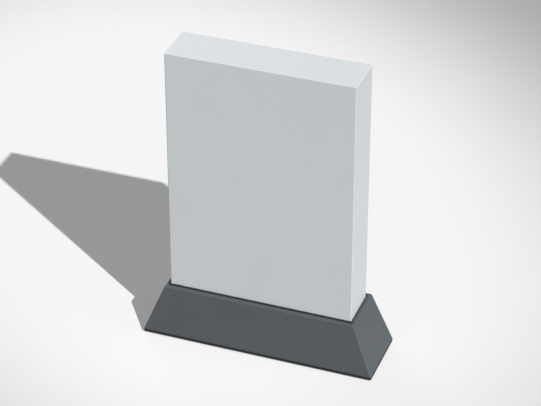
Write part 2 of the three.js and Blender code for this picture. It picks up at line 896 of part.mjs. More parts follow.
function cassette() {
  const group = new THREE.Group();
  group.position.set(cassetteHeadX, 0, cassetteMiddleZ);
  group.add(piece('cassette_shell_front', cassetteHalf(-1), shellFinish));
  group.add(piece('cassette_shell_back', cassetteHalf(1), shellFinish));
  group.add(piece('window_front', shellWindow(-1), windowFinish));
  group.add(piece('window_back', shellWindow(1), windowFinish));
  bossPlaces().forEach(([x, z], i) => {
    group.add(piece(`cassette_screw_${i + 1}`, cassetteScrew(), steelFinish, [x, 0, z]));
  });
  group.add(piece('slip_sheet_front', slipSheet(-1), filmFinish));
  group.add(piece('slip_sheet_back', slipSheet(1), filmFinish));
  for (const [name, side] of [['upper', 1], ['lower', -1]]) {
    group.add(reel(name, side));
    group.add(guideRoller(name, side));
  }
  group.add(piece('tape_span', tapeSpan(), tapeFinish));
  group.add(piece('pad_spring', padSpring(), bronzeFinish));
  group.add(piece('pressure_pad', pressurePad(), padFinish));
  group.add(piece('shield_plate', shieldPlate(), steelFinish));
  return group;
}

function cassetteCase() {
  const group = new THREE.Group();
  group.position.set(0, 0, caseSeat);
  group.add(piece('case_lid', caseLid(), caseFinish));
  group.add(piece('case_tray', caseTray(), caseFinish));
  group.add(piece('insert_card', insertCard(), cardFinish));
  group.add(cassette());
  return group;
}

const stand = new THREE.Group();
stand.add(base());
stand.add(cassetteCase());

export default stand;
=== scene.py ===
"""Cassette display stand: a flared slotted base with a closed cassette case standing in it.

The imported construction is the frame. This script gives its outer pieces their fine surfaces
and every piece its finish, and sets up the floor, the light and the camera.
"""

import math

import bpy
import numpy as np
from bpy.props import FloatProperty, FloatVectorProperty, IntProperty, PointerProperty
from mathutils import Matrix, Vector


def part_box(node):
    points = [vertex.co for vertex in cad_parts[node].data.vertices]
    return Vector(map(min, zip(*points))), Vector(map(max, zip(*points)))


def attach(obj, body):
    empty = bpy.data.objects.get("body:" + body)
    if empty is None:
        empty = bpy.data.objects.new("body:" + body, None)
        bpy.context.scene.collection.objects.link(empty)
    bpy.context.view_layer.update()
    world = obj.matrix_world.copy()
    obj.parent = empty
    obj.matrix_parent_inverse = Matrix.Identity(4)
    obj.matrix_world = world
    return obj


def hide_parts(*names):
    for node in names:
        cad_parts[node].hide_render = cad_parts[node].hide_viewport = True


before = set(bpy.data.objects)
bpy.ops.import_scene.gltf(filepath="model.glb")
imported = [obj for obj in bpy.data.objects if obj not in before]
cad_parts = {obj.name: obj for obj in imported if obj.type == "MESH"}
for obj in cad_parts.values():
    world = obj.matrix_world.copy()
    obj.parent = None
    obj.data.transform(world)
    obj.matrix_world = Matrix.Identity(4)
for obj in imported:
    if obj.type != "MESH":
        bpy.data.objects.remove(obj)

bl_info = {
    "name": "Cassette Display Stand",
    "version": (1, 0, 0),
    "blender": (4, 5, 0),
    "location": "View3D > Sidebar > Stand",
    "description": "Surfaces, finishes, light and camera of a cassette display stand",
    "category": "Object",
}

MM = 0.001
HALF_TURN = math.pi
QUARTER_TURN = math.pi / 2
LEVELS = ("upper", "lower")
BASE_CORNERS = range(1, 5)
SHELL_SCREWS = range(1, 6)
THREAD_ROWS = 60
HUB_TEETH = 6
PEG_RIBS = 3
SHARP_ANGLE = math.radians(60)
SEAM_ANGLE = math.radians(50)
WELD_GAP = MM / 1000
FACE_WEIGHT = 100          # how far the largest face wins over the others in the shading
DECIMALS = 9               # of a cell's sides in metres
MIX_COLOURS = (6, 7)       # a Mix node's two colour inputs
MIX_RESULT = 2             # and its colour output
SHADER = "Principled BSDF"
RIM_CORNER = 0.7           # the rim's corner radius over the foot's
HEAD_FACE = 0.8            # the flat face of a screw's head over its width
THREAD_ROOM = 1.2          # where a screw's thread starts and ends, over its head and its radius
CROSS_TAPER = (1.1, 0.65)  # the cross recess over its own width, outside and inside the head
VIEW_REACH = (0.01, 20)    # the nearest and the farthest that the camera sees, in metres
MATT = {"IOR": 1.5, "Specular IOR Level": 0.3}
SATIN = {"IOR": 1.5, "Specular IOR Level": 0.32}
ACROSS = Matrix.Rotation(QUARTER_TURN, 4, "X")
BACKWARDS = Matrix.Rotation(-QUARTER_TURN, 4, "X")


# Settings

def linear(red, green, blue):
    """The linear colour of three display values from 0 to 255."""
    display = np.array([red, green, blue]) / 255
    low = display / 12.92
    high = ((display + 0.055) / 1.055) ** 2.4
    return tuple(float(value) for value in np.where(display <= 0.04045, low, high))


def length(name, description, default):
    """A length setting, given in millimetres and kept in metres."""
    return FloatProperty(
        name=name, description=description, default=default * MM, unit="LENGTH"
    )


def amount(name, description, default):
    """A plain number, such as a share or a strength."""
    return FloatProperty(name=name, description=description, default=default)


def degrees(name, description, default):
    """An angle setting, given in degrees and kept in radians."""
    return FloatProperty(
        name=name, description=description, default=math.radians(default), subtype="ANGLE"
    )


def direction(name, description, default):
    """A direction setting, whose length doesn't matter."""
    return FloatVectorProperty(
        name=name, description=description, default=default, size=3, subtype="XYZ"
    )


def position(name, description, default):
    """A point, given in millimetres and kept in metres."""
    place = [value * MM for value in default]
    return FloatVectorProperty(
        name=name, description=description, default=place, size=3, subtype="TRANSLATION"
    )


def colour(name, description, default):
    """A colour setting, given as three display values."""
    return FloatVectorProperty(
        name=name, description=description, default=linear(*default), size=3,
        min=0, max=1, subtype="COLOR",
    )


class StandSizes(bpy.types.PropertyGroup):
    """Fine sizes of the surfaces, on top of those that the frame gives"""

    base_corner: length("Base corner", "Radius of the base's upright corners, seen from above", 0.5)
    foot_edge: length("Base foot edge", "Rounding of the base's lower outer edge", 0.12)
    rim_edge: length("Rim edge", "Rounding between the slopes and the rim", 0.25)
    mouth_edge: length("Slot mouth edge", "Rounding of the slot's mouth", 0.15)
    slot_corner: length("Slot corner", "Radius of the slot's upright corners", 0.15)
    hollow_edge: length("Hollow edge", "Rounding inside the base's hollow", 0.5)
    wall: length("Base wall", "Wall of the base at its foot", 1.8)
    slot_floor: length("Slot floor", "Thickness of the slot's floor", 2)
    slot_wall: length("Slot wall", "Wall between the slot and the wells at its ends", 1.5)
    well_top: length("Well top", "Width of those wells at their top", 0.8)
    boss_radius: length("Boss radius", "Radius of the screw bosses in the base", 2.1)
    boss_height: length("Boss height", "Height of the screw bosses over the plate", 7.8)
    rib_width: length("Rib width", "Width of the ribs that hold the bar down", 1.5)
    rib_spacing: length("Rib spacing", "Distance between those ribs", 20)
    plate_edge: length("Plate edge", "Rounding of the bottom plate's edges", 0.15)
    plate_thickness: length("Plate thickness", "Thickness of the bottom plate", 1.1)
    bar_room: length("Bar room", "Gap between the bar and the ribs round it", 0.3)
    bar_rib: length("Bar rib", "Width of the ribs round the bar", 1.2)
    foot_recess: length("Foot recess", "How deep a foot lies in the plate", 0.5)
    foot_clearance: length("Foot clearance", "Gap round a foot in its recess", 0.15)
    foot_round: length("Foot rounding", "Rounding of a foot's lower edge", 0.35)
    screw_clearance: length("Screw clearance", "Gap round a screw in the plate", 0.1)
    screw_core: length("Screw core", "Radius of the screw between its threads", 0.72)
    screw_shank: length("Screw shank", "Radius of the screw over its threads", 0.9)
    screw_pitch: length("Screw pitch", "Distance from one thread to the next", 0.9)
    screw_head: length("Screw head height", "Height of the screw's countersunk head", 1)
    cross_length: amount("Cross length", "Length of a screw's recess over its head's width", 0.55)
    cross_width: length("Cross width", "Width of that recess", 0.5)
    cross_depth: length("Cross depth", "Depth of that recess", 0.55)
    case_wall: length("Case wall", "Wall of the case", 1.4)
    case_edge: length("Case edge", "Rounding of the case's outer edges", 0.35)
    seam_edge: length("Seam edge", "Rounding of the case's seams and inner edges", 0.12)
    seam: length("Seam", "Gap between the lid and the tray", 0.2)
    flap: length("Spine flap", "Width of the lid's flap on the back", 11.4)
    ear: length("Ear thickness", "Thickness of the tray's hinge ears", 1.2)
    ear_gap: length("Ear gap", "Gap between the ears and the case's front", 0.6)
    hinge_inset: length("Hinge inset", "Distance of the hinge axis from the case's faces", 5.5)
    hinge_radius: length("Hinge pin radius", "Radius of the lid's hinge pins", 1.5)
    peg_radius: length("Peg radius", "Radius of the tray's hub pegs", 3.2)
    peg_reach: length("Peg rib reach", "Reach of the ribs on those pegs", 4.6)
    peg_rib: length("Peg rib width", "Width of those ribs", 1.2)
    peg_tip: length("Peg tip", "How far a peg reaches past the case's middle", 1)
    hub_collar: length("Hub collar", "Radius of the collar on a hub", 6)
    hub_bore: length("Hub bore", "Radius of a hub's bore", 5)
    tooth_length: length("Tooth length", "How far a hub's tooth stands into the bore", 1.4)
    tooth_width: length("Tooth width", "Width of that tooth", 1.4)
    clip_gap: length("Clip gap", "Gap round the clip in its notch", 0.15)
    pack_gap: length("Pack gap", "Gap between a hub and its tape", 0.1)
    winding: length("Winding", "Distance between the tape's seen turns", 0.12)
    winding_step: length("Winding step", "How unevenly those turns lie", 0.04)
    roller_bore: length("Roller bore", "Gap between a roller and its pin", 0.25)
    roller_rim: length("Roller rim", "Width of the rims on a roller's ends", 0.55)
    roller_groove: length("Roller groove", "Depth of the groove between those rims", 0.4)
    felt_cell: length("Felt cell", "Spacing of the felt's surface points", 0.4)
    felt_edge: length("Felt edge", "Rounding of the felt strips", 0.15)
    felt_nap: length("Felt nap", "Height of the felt's uneven nap", 0.09)
    felt_clump: length("Felt clump", "Width of the nap's soft clumps", 0.9)
    arc_steps: IntProperty(
        name="Arc steps", description="Steps in a rounded edge", default=6, min=2
    )
    round_sides: IntProperty(
        name="Round sides", description="Sides of a turned piece", default=64, min=12
    )


class StandColours(bpy.types.PropertyGroup):
    """Colours of the finishes"""

    case: colour("Case", "Pale cool grey polystyrene of the case", (206, 211, 214))
    base: colour("Base", "Dark cool grey plastic of the base", (79, 85, 88))
    # Painted shade in part: the plate is this dark so that its edge draws a dark band of shade
    # along the base's foot.
    plate: colour("Plate", "Darker plastic of the bottom plate", (27, 30, 32))
    # Painted shade in part: the felt is this dark so that its edge at the slot mouth draws the dark
    # gap of shade round the case.
    felt: colour("Felt", "Felt that lines the slot", (29, 32, 34))
    rubber: colour("Rubber", "Rubber of the feet", (29, 31, 32))
    zinc: colour("Zinc", "Zinc plating on screws and pins", (176, 178, 180))
    steel: colour("Steel", "Bare steel of the bar and the shield", (128, 130, 133))
    card: colour("Card", "Unprinted card", (228, 226, 219))
    shell: colour("Shell", "Plastic of the cassette's shell", (60, 63, 66))
    window: colour("Window", "Clear window of the cassette", (214, 222, 226))
    film: colour("Film", "Slip sheets", (76, 80, 84))
    hub: colour("Hub", "Plastic of hubs, clips and rollers", (226, 224, 216))
    tape: colour("Tape", "Brown oxide tape", (62, 45, 36))
    bronze: colour("Bronze", "Spring of the pressure pad", (181, 138, 74))
    pad: colour("Pad", "Felt of the pressure pad", (185, 169, 140))
    floor: colour("Floor", "Pale studio floor", (234, 234, 234))


class StandStage(bpy.types.PropertyGroup):
    """Camera, light and floor"""

    azimuth: degrees("Azimuth", "Camera's turn from the front", 20.26)
    elevation: degrees("Elevation", "Camera's height angle", 32.4)
    aim: position("Aim", "Point in the middle of the view", (0.8, 0.5, 58.8))
    distance: length("Distance", "Camera's distance from that point", 762)
    lens: amount("Lens", "Focal length in millimetres", 141.7)
    key: amount("Key strength", "Strength of the key light", 4.43)
    key_way: direction("Key direction", "Points towards the key light", (0.968, -0.668, 1.0))
    key_softness: degrees("Key softness", "Angle that the key light fills", 0.6)
    fill: amount("Fill strength", "Strength of the light from behind", 1.8)
    fill_way: direction("Fill direction", "Points towards that light", (-0.8, 0.9, 0.03))
    fill_softness: degrees("Fill softness", "Angle that it and the front light fill", 40)
    front: amount("Front strength", "Strength of the light from the front", 0.46)
    front_way: direction("Front direction", "Points towards that light", (-0.35, -1, 0.05))
    ambient: amount("Ambient", "Light from all round", 0.12)
    backdrop: amount("Backdrop", "Brightness that the view sees past the floor", 0.9)
    floor_size: length("Floor size", "Half the floor's width", 4000)
    floor_tone: amount("Floor tone", "Share of its colour that the floor shows", 0.805)
    floor_glow: amount("Floor glow", "Share that it shows without any light", 0.28)
    floor_return: amount("Floor return", "Share of its colour that lights the stand", 0.15)
    # Painted light: an oval pool in which the seen floor's colour is brighter, dimming outwards by
    # the fade share.
    painted_pool_centre: position("Pool centre", "Middle of the floor's brighter part", (-65, 90, 0))
    painted_pool_turn: degrees("Pool turn", "Turn of that oval part", 44.5)
    painted_pool_stretch: amount("Pool stretch", "Length of the oval over its width", 1.48)
    painted_pool_start: length("Pool start", "Distance from its middle where it grows darker", 86)
    painted_pool_end: length("Pool end", "Distance at which it is darkest", 240)
    fade: amount("Fade", "Share of its brightness that the floor loses there", 0.57)


def settings():
    """The three groups of settings: sizes, colours and stage."""
    scene = bpy.context.scene
    return scene.stand_sizes, scene.stand_colours, scene.stand_stage


def corners(node):
    """Lowest and highest corner of a node of the frame, as arrays in metres."""
    low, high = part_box(node)
    return np.array(low), np.array(high)


def middle(node):
    """The middle of a node of the frame."""
    low, high = corners(node)
    return (low + high) / 2


def half_width(node):
    """Half of a node's width, which is the radius of a round one."""
    low, high = corners(node)
    return (high[0] - low[0]) / 2


def standing(node):
    """The radius, the height and the foot's centre of an upright round node."""
    low, high = corners(node)
    return half_width(node), high[2] - low[2], (*middle(node)[:2], low[2])


# Surfaces

def outward(points, faces):
    """The faces turned so that they point out.

    They do when the volume, summed over each face's fan of triangles, is positive.
    """
    volume = 0.0
    for face in faces:
        corner = points[face[0]]
        fan = points[np.asarray(face[1:])]
        volume += float(np.sum(np.cross(fan[:-1], fan[1:]) @ corner))
    return faces if volume > 0 else [tuple(reversed(face)) for face in faces]


def surface(name, points, faces):
    """A smooth mesh object at the origin, from points in metres and faces."""
    faces = faces.tolist() if isinstance(faces, np.ndarray) else faces
    mesh = bpy.data.meshes.new(name)
    mesh.from_pydata(points, [], outward(points, faces))
    mesh.update()
    mesh.shade_smooth()
    piece = bpy.data.objects.new(name, mesh)
    bpy.context.scene.collection.objects.link(piece)
    return piece


def grid_faces(rows, columns):
    """Quads between neighbouring rows of a closed ring of columns, as an array."""
    row, column = np.meshgrid(np.arange(rows - 1), np.arange(columns), indexing="ij")
    here = row * columns + column
    beside = row * columns + (column + 1) % columns
    return np.stack([here, beside, beside + columns, here + columns], -1).reshape(-1, 4)


def capped(rows, columns):
    """Faces of a tube of rings whose first and last ring are each closed by one flat face."""
    first = tuple(range(columns))[::-1]
    last = tuple(range((rows - 1) * columns, rows * columns))
    return grid_faces(rows, columns).tolist() + [first, last]


def looped(rows, columns):
    """Quads of a tube of rings whose last ring joins its first."""
    return grid_faces(rows + 1, columns) % (rows * columns)


def rounded_profile(knots, steps):
    """A profile with its corners rounded. Each knot is its coordinates and, last, its rounding.

    Every inner corner becomes the parabola that leaves the line before it and joins the line
    after it at that rounding's distance: (1-t)^2 A + 2t(1-t) K + t^2 B. A fourth coordinate, the
    corner radius, follows along and doesn't count in the distance.
    """
    knots = np.array(knots, float)
    places, reach = knots[:, :-1], knots[:, -1]
    rows = [places[:1]]
    t = np.linspace(0, 1, steps + 1)[:, None]
    for i in range(1, len(places) - 1):
        back = places[i - 1] - places[i]
        ahead = places[i + 1] - places[i]
        start = places[i] + back / np.linalg.norm(back[:3]) * reach[i]
        end = places[i] + ahead / np.linalg.norm(ahead[:3]) * reach[i]
        rows.append((1 - t) ** 2 * start + 2 * t * (1 - t) * places[i] + t**2 * end)
    rows.append(places[-1:])
    return np.concatenate(rows)


def carried_round(rows, steps):
    """The points of a profile carried round a rounded rectangle, and how many a ring has.

    Each row is half width, half depth, height and corner radius. A corner's point at angle a is
    the corner's centre plus the radius times (cos a, sin a).
    """
    half_x, half_y, height, radius = (column[:, None] for column in np.asarray(rows).T)
    quarter = np.linspace(0, QUARTER_TURN, steps + 1)
    angle = np.concatenate([quarter + QUARTER_TURN * i for i in range(4)])
    sign_x = np.repeat([1, -1, -1, 1], steps + 1)
    sign_y = np.repeat([1, 1, -1, -1], steps + 1)
    x = sign_x * (half_x - radius) + radius * np.cos(angle)
    y = sign_y * (half_y - radius) + radius * np.sin(angle)
    return in_rows(x, y, height), len(angle)


def in_rows(x, y, height):
    """Arrays of coordinates, one row for each ring, as one list of points."""
    return np.stack([x, y, np.broadcast_to(height, x.shape)], -1).reshape(-1, 3)


def carried_piece(name, knots, steps):
    """A closed object from a profile's knots, carried round a rectangle."""
    rows = rounded_profile(knots, steps)
    points, ring = carried_round(rows, steps)
    return surface(name, points, capped(len(rows), ring))


def round_angles(sides):
    """The angles of a full turn in equal steps."""
    return np.arange(sides) * 2 * math.pi / sides


def turned(rows, sides, centre=(0, 0, 0)):
    """A profile of radius and height turned about an upright axis: (r cos a, r sin a, h)."""
    radius, height = (column[:, None] for column in np.asarray(rows).T)
    angle = round_angles(sides)
    points = in_rows(radius * np.cos(angle), radius * np.sin(angle), height)
    return points + np.array(centre)


def turned_piece(name, knots, sides, steps, centre=(0, 0, 0)):
    """A closed turned object from a profile's knots."""
    rows = rounded_profile(knots, steps)
    return surface(name, turned(rows, sides, centre), capped(len(rows), sides))


def turned_ring(name, rows, sides):
    """A profile of radius and height, whose last row joins its first, turned into a ring."""
    return surface(name, turned(rows, sides), looped(len(rows), sides))


def rod(name, radius, low, high, sides, centre):
    """A plain upright rod between two heights, used to cut or to join."""
    rows = [[radius, low], [radius, high]]
    return surface(name, turned(rows, sides, (*centre, 0)), capped(2, sides))


def block(name, low, high):
    """A plain block between two corners, used to cut or to join."""
    outline = [(high[0], high[1]), (low[0], high[1]), (low[0], low[1]), (high[0], low[1])]
    return prism(name, outline, low[2], high[2])


def prism(name, outline, low, high):
    """An outline of (x, y) points drawn up from one height to another."""
    outline = np.asarray(outline, float)
    rings = [np.column_stack([outline, np.full(len(outline), level)]) for level in (low, high)]
    return surface(name, np.concatenate(rings), capped(2, len(outline)))


def combine(piece, others, operation):
    """Joins other closed surfaces to a piece or cuts them out of it, and removes them."""
    for other in others:
        change = piece.modifiers.new(operation.lower(), "BOOLEAN")
        change.operation = operation
        change.solver = "EXACT"
        change.object = other
    settle(piece)
    for other in others:
        mesh = other.data
        bpy.data.objects.remove(other)
        bpy.data.meshes.remove(mesh)
    return piece


def settle(piece):
    """Replaces a piece's mesh by what its modifiers make of it."""
    before = piece.data
    graph = bpy.context.evaluated_depsgraph_get()
    after = bpy.data.meshes.new_from_object(piece.evaluated_get(graph))
    piece.modifiers.clear()
    piece.data = after
    bpy.data.meshes.remove(before)
    after.name = piece.name


def even_shading(piece):
    """Shades each corner by the largest face at it, and keeps unrounded edges sharp."""
    piece.data.set_sharp_from_angle(angle=SHARP_ANGLE)
    shading = piece.modifiers.new("even shading", "WEIGHTED_NORMAL")
    shading.weight = FACE_WEIGHT
    shading.keep_sharp = True


def dress(piece, body, slot, material, *nodes):
    """Gives a piece its finish and body and hides the nodes that it stands for; the slot is not
    used.
    """
    piece.data.materials.clear()
    piece.data.materials.append(material)
    even_shading(piece)
    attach(piece, body)
    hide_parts(*nodes)


def cell_surface(lines, solid):
    """Points and quads of a solid made of box cells.

    lines holds the rising x, y and z values of the cells' sides, and solid says which cells are
    filled. Every side between a filled and an empty cell is one quad.
    """
    padded = np.pad(solid, 1).astype(int)
    counts = np.array(padded.shape) - 1
    faces = []
    for axis in range(3):
        step = np.diff(padded, axis=axis)
        across, along = [k for k in range(3) if k != axis]
        for sign in (1, -1):
            cell = np.argwhere(step == sign)
            cell[:, across] -= 1
            cell[:, along] -= 1
            shift_a, shift_b = np.eye(3, dtype=int)[[across, along]]
            quad = np.stack([cell, cell + shift_a, cell + shift_a + shift_b, cell + shift_b], 1)
            clockwise = (sign == 1) != (axis == 1)
            faces.append(quad[:, ::-1] if clockwise else quad)
    corner = np.concatenate(faces)
    code = np.ravel_multi_index(tuple(corner.reshape(-1, 3).T), tuple(counts))
    used, number = np.unique(code, return_inverse=True)
    place = np.unravel_index(used, tuple(counts))
    points = np.column_stack([np.asarray(line)[index] for line, index in zip(lines, place)])
    return points, number.reshape(-1, 4)


def round_box(points, low, high, radius):
    """Rounds the edges of a box.

    With c the nearest point of the box shrunk by the radius and d = p - c, a point p goes to
    c + d * (largest part of d) / (length of d).
    """
    core = np.clip(points, low + radius, high - radius)
    away = points - core
    size = np.linalg.norm(away, axis=1)
    largest = np.abs(away).max(axis=1)
    share = np.divide(largest, size, out=np.ones_like(size), where=size > 0)
    return core + away * share[:, None]


def edge_lines(low, high, radius, steps, between=()):
    """Rising values from low to high, closer at both ends so that a rounded edge has even steps."""
    inset = radius * (1 - np.tan(np.linspace(QUARTER_TURN / 2, 0, steps + 1)))
    return np.unique(np.round(np.concatenate([low + inset, between, high - inset]), DECIMALS))


# Finishes

def put(tree, kind, inputs=(), **choices):
    """Adds a node. An input that is another node's output is linked, and any other is written."""
    node = tree.nodes.new("ShaderNode" + kind)
    for name, value in choices.items():
        setattr(node, name, value)
    for name, value in dict(inputs).items():
        if isinstance(value, bpy.types.NodeSocket):
            tree.links.new(value, node.inputs[name])
        else:
            node.inputs[name].default_value = value
    return node


def new_finish(name, inputs):
    """A material and its node tree, with constant values written on the shader's own sockets."""
    material = bpy.data.materials.new(name)
    material.use_nodes = True
    for key, value in inputs.items():
        material.node_tree.nodes[SHADER].inputs[key].default_value = value
    return material, material.node_tree


def connect(material, sockets):
    """Links the shader's sockets to the given patterns and gives the material back."""
    tree = material.node_tree
    for key, output in sockets.items():
        tree.links.new(output, tree.nodes[SHADER].inputs[key])
    return material


def millimetres(tree, centre=(0, 0, 0), stretch=(1, 1, 1)):
    """Object coordinates in millimetres from a centre, so that a pattern's size is in them too.

    A stretch under 1 draws the pattern out along that axis.
    """
    place = put(tree, "TexCoord").outputs["Object"]
    scale = [value / MM for value in stretch]
    shift = [-value * share for value, share in zip(centre, scale)]
    return put(tree, "Mapping", {"Vector": place, "Location": shift, "Scale": scale}).outputs[0]


def noise(tree, point, size, detail, roughness=0.5):
    """Cloudy noise from 0 to 1 whose blotches are about size millimetres wide."""
    inputs = {"Vector": point, "Scale": 1 / size, "Detail": detail, "Roughness": roughness}
    return put(tree, "TexNoise", inputs).outputs[0]


def spread(tree, value, low, high, start=0.3, end=0.7):
    """A pattern's values from start to end, spread from low to high and held there."""
    inputs = {"Value": value, "From Min": start, "From Max": end, "To Min": low, "To Max": high}
    return put(tree, "MapRange", inputs).outputs[0]


def clouds(tree, point, size, detail, low=0, high=1):
    """Noise that runs the whole way from low to high."""
    return spread(tree, noise(tree, point, size, detail), low, high)


def calculate(tree, operation, *values):
    """One sum on numbers."""
    return put(tree, "Math", dict(enumerate(values)), operation=operation).outputs[0]


def largest(tree, values):
    """The largest of several patterns at each point."""
    best, *others = values
    for value in others:
        best = calculate(tree, "MAXIMUM", best, value)
    return best


def blend_colours(tree, share, first, second):
    """The first colour where share is 0 and the second where it is 1."""
    node = put(tree, "Mix", {"Factor": share}, data_type="RGBA")
    for index, value in zip(MIX_COLOURS, (first, second)):
        if isinstance(value, bpy.types.NodeSocket):
            tree.links.new(value, node.inputs[index])
        else:
            node.inputs[index].default_value = (*value, 1)
    return node.outputs[MIX_RESULT]


def tone(rgb, share):
    """A colour made lighter or darker by a share."""
    return tuple(min(1.0, value * share) for value in rgb)


def mottled(tree, pattern, rgb, dark, light):
    """A colour that goes from a darker to a lighter tone of itself with a pattern."""
    return blend_colours(tree, pattern, tone(rgb, dark), tone(rgb, light))


def relief(tree, height, depth, below=None):
    """A bump whose full height is depth millimetres, laid over another if one is given."""
    inputs = {"Height": height, "Distance": depth * MM, "Strength": 1.0}
    if below:
        inputs["Normal"] = below
    return put(tree, "Bump", inputs).outputs[0]


def edges_for_wear_and_shade(tree, half, top, lean, width):
    """1 on the upright and upper edges of a block or a flared base and 0 a width away from them.
    These edges are worn and, on the case, also carry painted shade.

    In each direction the nearness is 1 at the outer face, and an edge is where two are near. The
    faces lean in by lean for each unit of height. The width is in millimetres.
    """
    axes = put(tree, "SeparateXYZ", {0: put(tree, "TexCoord").outputs["Object"]}).outputs
    near = []
    for axis in (0, 1):
        aside = calculate(tree, "ABSOLUTE", axes[axis])
        outer = calculate(tree, "MULTIPLY_ADD", axes[2], lean[axis], aside)
        near.append(spread(tree, outer, 0, 1, half[axis] - width * MM, half[axis]))
    near.append(spread(tree, axes[2], 0, 1, top - width * MM, top))
    pairs = ((0, 1), (1, 2), (0, 2))
    return largest(tree, [calculate(tree, "MULTIPLY", near[i], near[j]) for i, j in pairs])


def moulded(
    name, rgb, roughness, grain, depth, uneven=0.02, edge_wear_and_shade=None, edge_wear_and_shade_tone=1.0, **inputs
):
    """Moulded plastic: a fine grain, slow flow, small scuffs and, where given, worn edges with
    their own tone. A darker edge tone, as on the case, is painted shade; a lighter one, as on the
    base, is wear.

    The grain is given by its size and its depth, and the colour drifts by the uneven share.
    """
    material, tree = new_finish(name, inputs)
    point = millimetres(tree)
    cloud = clouds(tree, point, size=26, detail=2)
    fleck = clouds(tree, point, size=0.5, detail=2, high=0.35)
    base = mottled(tree, cloud, rgb, dark=1 - uneven, light=1 + uneven)
    paint = blend_colours(tree, fleck, base, tone(rgb, 1 - 2 * uneven))
    drift = clouds(tree, point, size=7, detail=4, low=-0.04, high=0.04)
    satin = calculate(tree, "ADD", drift, roughness)
    if edge_wear_and_shade:
        broken = clouds(tree, point, size=1.6, detail=4, low=0.25)
        worn_and_shaded = calculate(tree, "MULTIPLY", edges_for_wear_and_shade(tree, **edge_wear_and_shade), broken)
        share = calculate(tree, "MULTIPLY", worn_and_shaded, 0.7)
        # Painted shade where the edge tone is under 1, as on the case; a lighter worn tone where it
        # is over 1.
        paint = blend_colours(tree, share, paint, tone(rgb, edge_wear_and_shade_tone))
        satin = calculate(tree, "MULTIPLY_ADD", worn_and_shaded, -0.12, satin)
    upright = millimetres(tree, stretch=(1, 1, 0.12))
    rubs = noise(tree, upright, size=0.9, detail=5, roughness=0.65)
    scuff = spread(tree, rubs, low=0, high=0.08, start=0.62, end=0.72)
    flow = relief(tree, noise(tree, point, size=9, detail=1), depth=0.02)
    skin = noise(tree, point, size=grain, detail=2, roughness=0.6)
    return connect(material, {
        "Base Color": paint,
        "Roughness": calculate(tree, "ADD", satin, scuff),
        "Normal": relief(tree, skin, depth, below=flow),
    })


def fibrous(name, rgb, fibre, depth, sheen):
    """Felt: crossed fibres seen as stretched noise, with light and dark hairs and a soft sheen."""
    inputs = {
        "Roughness": 0.95,
        "Sheen Weight": sheen,
        "Sheen Roughness": 0.5,
        "Specular IOR Level": 0.2,
    }
    material, tree = new_finish(name, inputs)
    hairs = []
    for stretch in ((1, 1, 0.15), (0.15, 1, 1), (1, 0.3, 0.3)):
        along = millimetres(tree, stretch=stretch)
        hairs.append(noise(tree, along, size=fibre, detail=4, roughness=0.7))
    mesh = largest(tree, hairs)
    clump = clouds(tree, millimetres(tree), size=2.5, detail=3)
    lit = spread(tree, mesh, low=0, high=1, start=0.45, end=0.75)
    hair = mottled(tree, lit, rgb, dark=0.6, light=1.7)
    paint = blend_colours(tree, calculate(tree, "MULTIPLY", clump, 0.4), hair, tone(rgb, 0.75))
    nap = relief(tree, mesh, depth, below=relief(tree, clump, depth))
    return connect(material, {"Base Color": paint, "Normal": nap})


def rubber(name, rgb):
    """Soft matt rubber with a faint bloom and a fine pitted skin."""
    material, tree = new_finish(name, {"Specular IOR Level": 0.35})
    point = millimetres(tree)
    bloom = clouds(tree, point, size=1.8, detail=4)
    return connect(material, {
        "Base Color": mottled(tree, bloom, rgb, dark=0.85, light=1.5),
        "Roughness": spread(tree, bloom, low=0.72, high=0.9, start=0, end=1),
        "Normal": relief(tree, noise(tree, point, size=0.18, detail=3), depth=0.02),
    })


def plated(name, rgb, roughness, stretch=(1, 1, 1), spangle=1.2):
    """Metal: slow stains, fine brushing along the stretched direction and uneven gloss."""
    material, tree = new_finish(name, {"Metallic": 1.0})
    stain = clouds(tree, millimetres(tree), size=spangle, detail=4)
    along = millimetres(tree, stretch=stretch)
    brush = noise(tree, along, size=0.12, detail=3, roughness=0.6)
    streaks = spread(tree, brush, low=-0.07, high=0.1)
    return connect(material, {
        "Base Color": mottled(tree, stain, rgb, dark=0.86, light=1.06),
        "Roughness": calculate(tree, "ADD", streaks, roughness),
        "Normal": relief(tree, brush, depth=0.004),
    })


def paper(name, rgb):
    """Uncoated card: cloudy pulp, short fibres and a soft tooth."""
    material, tree = new_finish(name, {"Roughness": 0.85, "Specular IOR Level": 0.25})
    point = millimetres(tree)
    pulp = clouds(tree, point, size=3, detail=5)
    upright = millimetres(tree, stretch=(1, 1, 0.2))
    threads = noise(tree, upright, size=0.2, detail=3)
    fibre = spread(tree, threads, low=0, high=0.25, start=0.55, end=0.75)
    base = mottled(tree, pulp, rgb, dark=0.97, light=1.02)
    return connect(material, {
        "Base Color": blend_colours(tree, fibre, base, tone(rgb, 0.86)),
        "Normal": relief(tree, noise(tree, point, size=0.12, detail=3), depth=0.01),
    })


def clear(name, rgb):
    """Clear polystyrene with faint moulding haze."""
    material, tree = new_finish(name, {"Transmission Weight": 0.9, "IOR": 1.59})
    point = millimetres(tree)
    haze = noise(tree, point, size=2.2, detail=4)
    return connect(material, {
        "Base Color": mottled(tree, spread(tree, haze, 0, 1), rgb, dark=0.97, light=1.03),
        "Roughness": spread(tree, haze, low=0.06, high=0.16),
        "Normal": relief(tree, noise(tree, point, size=5, detail=1), depth=0.01),
    })


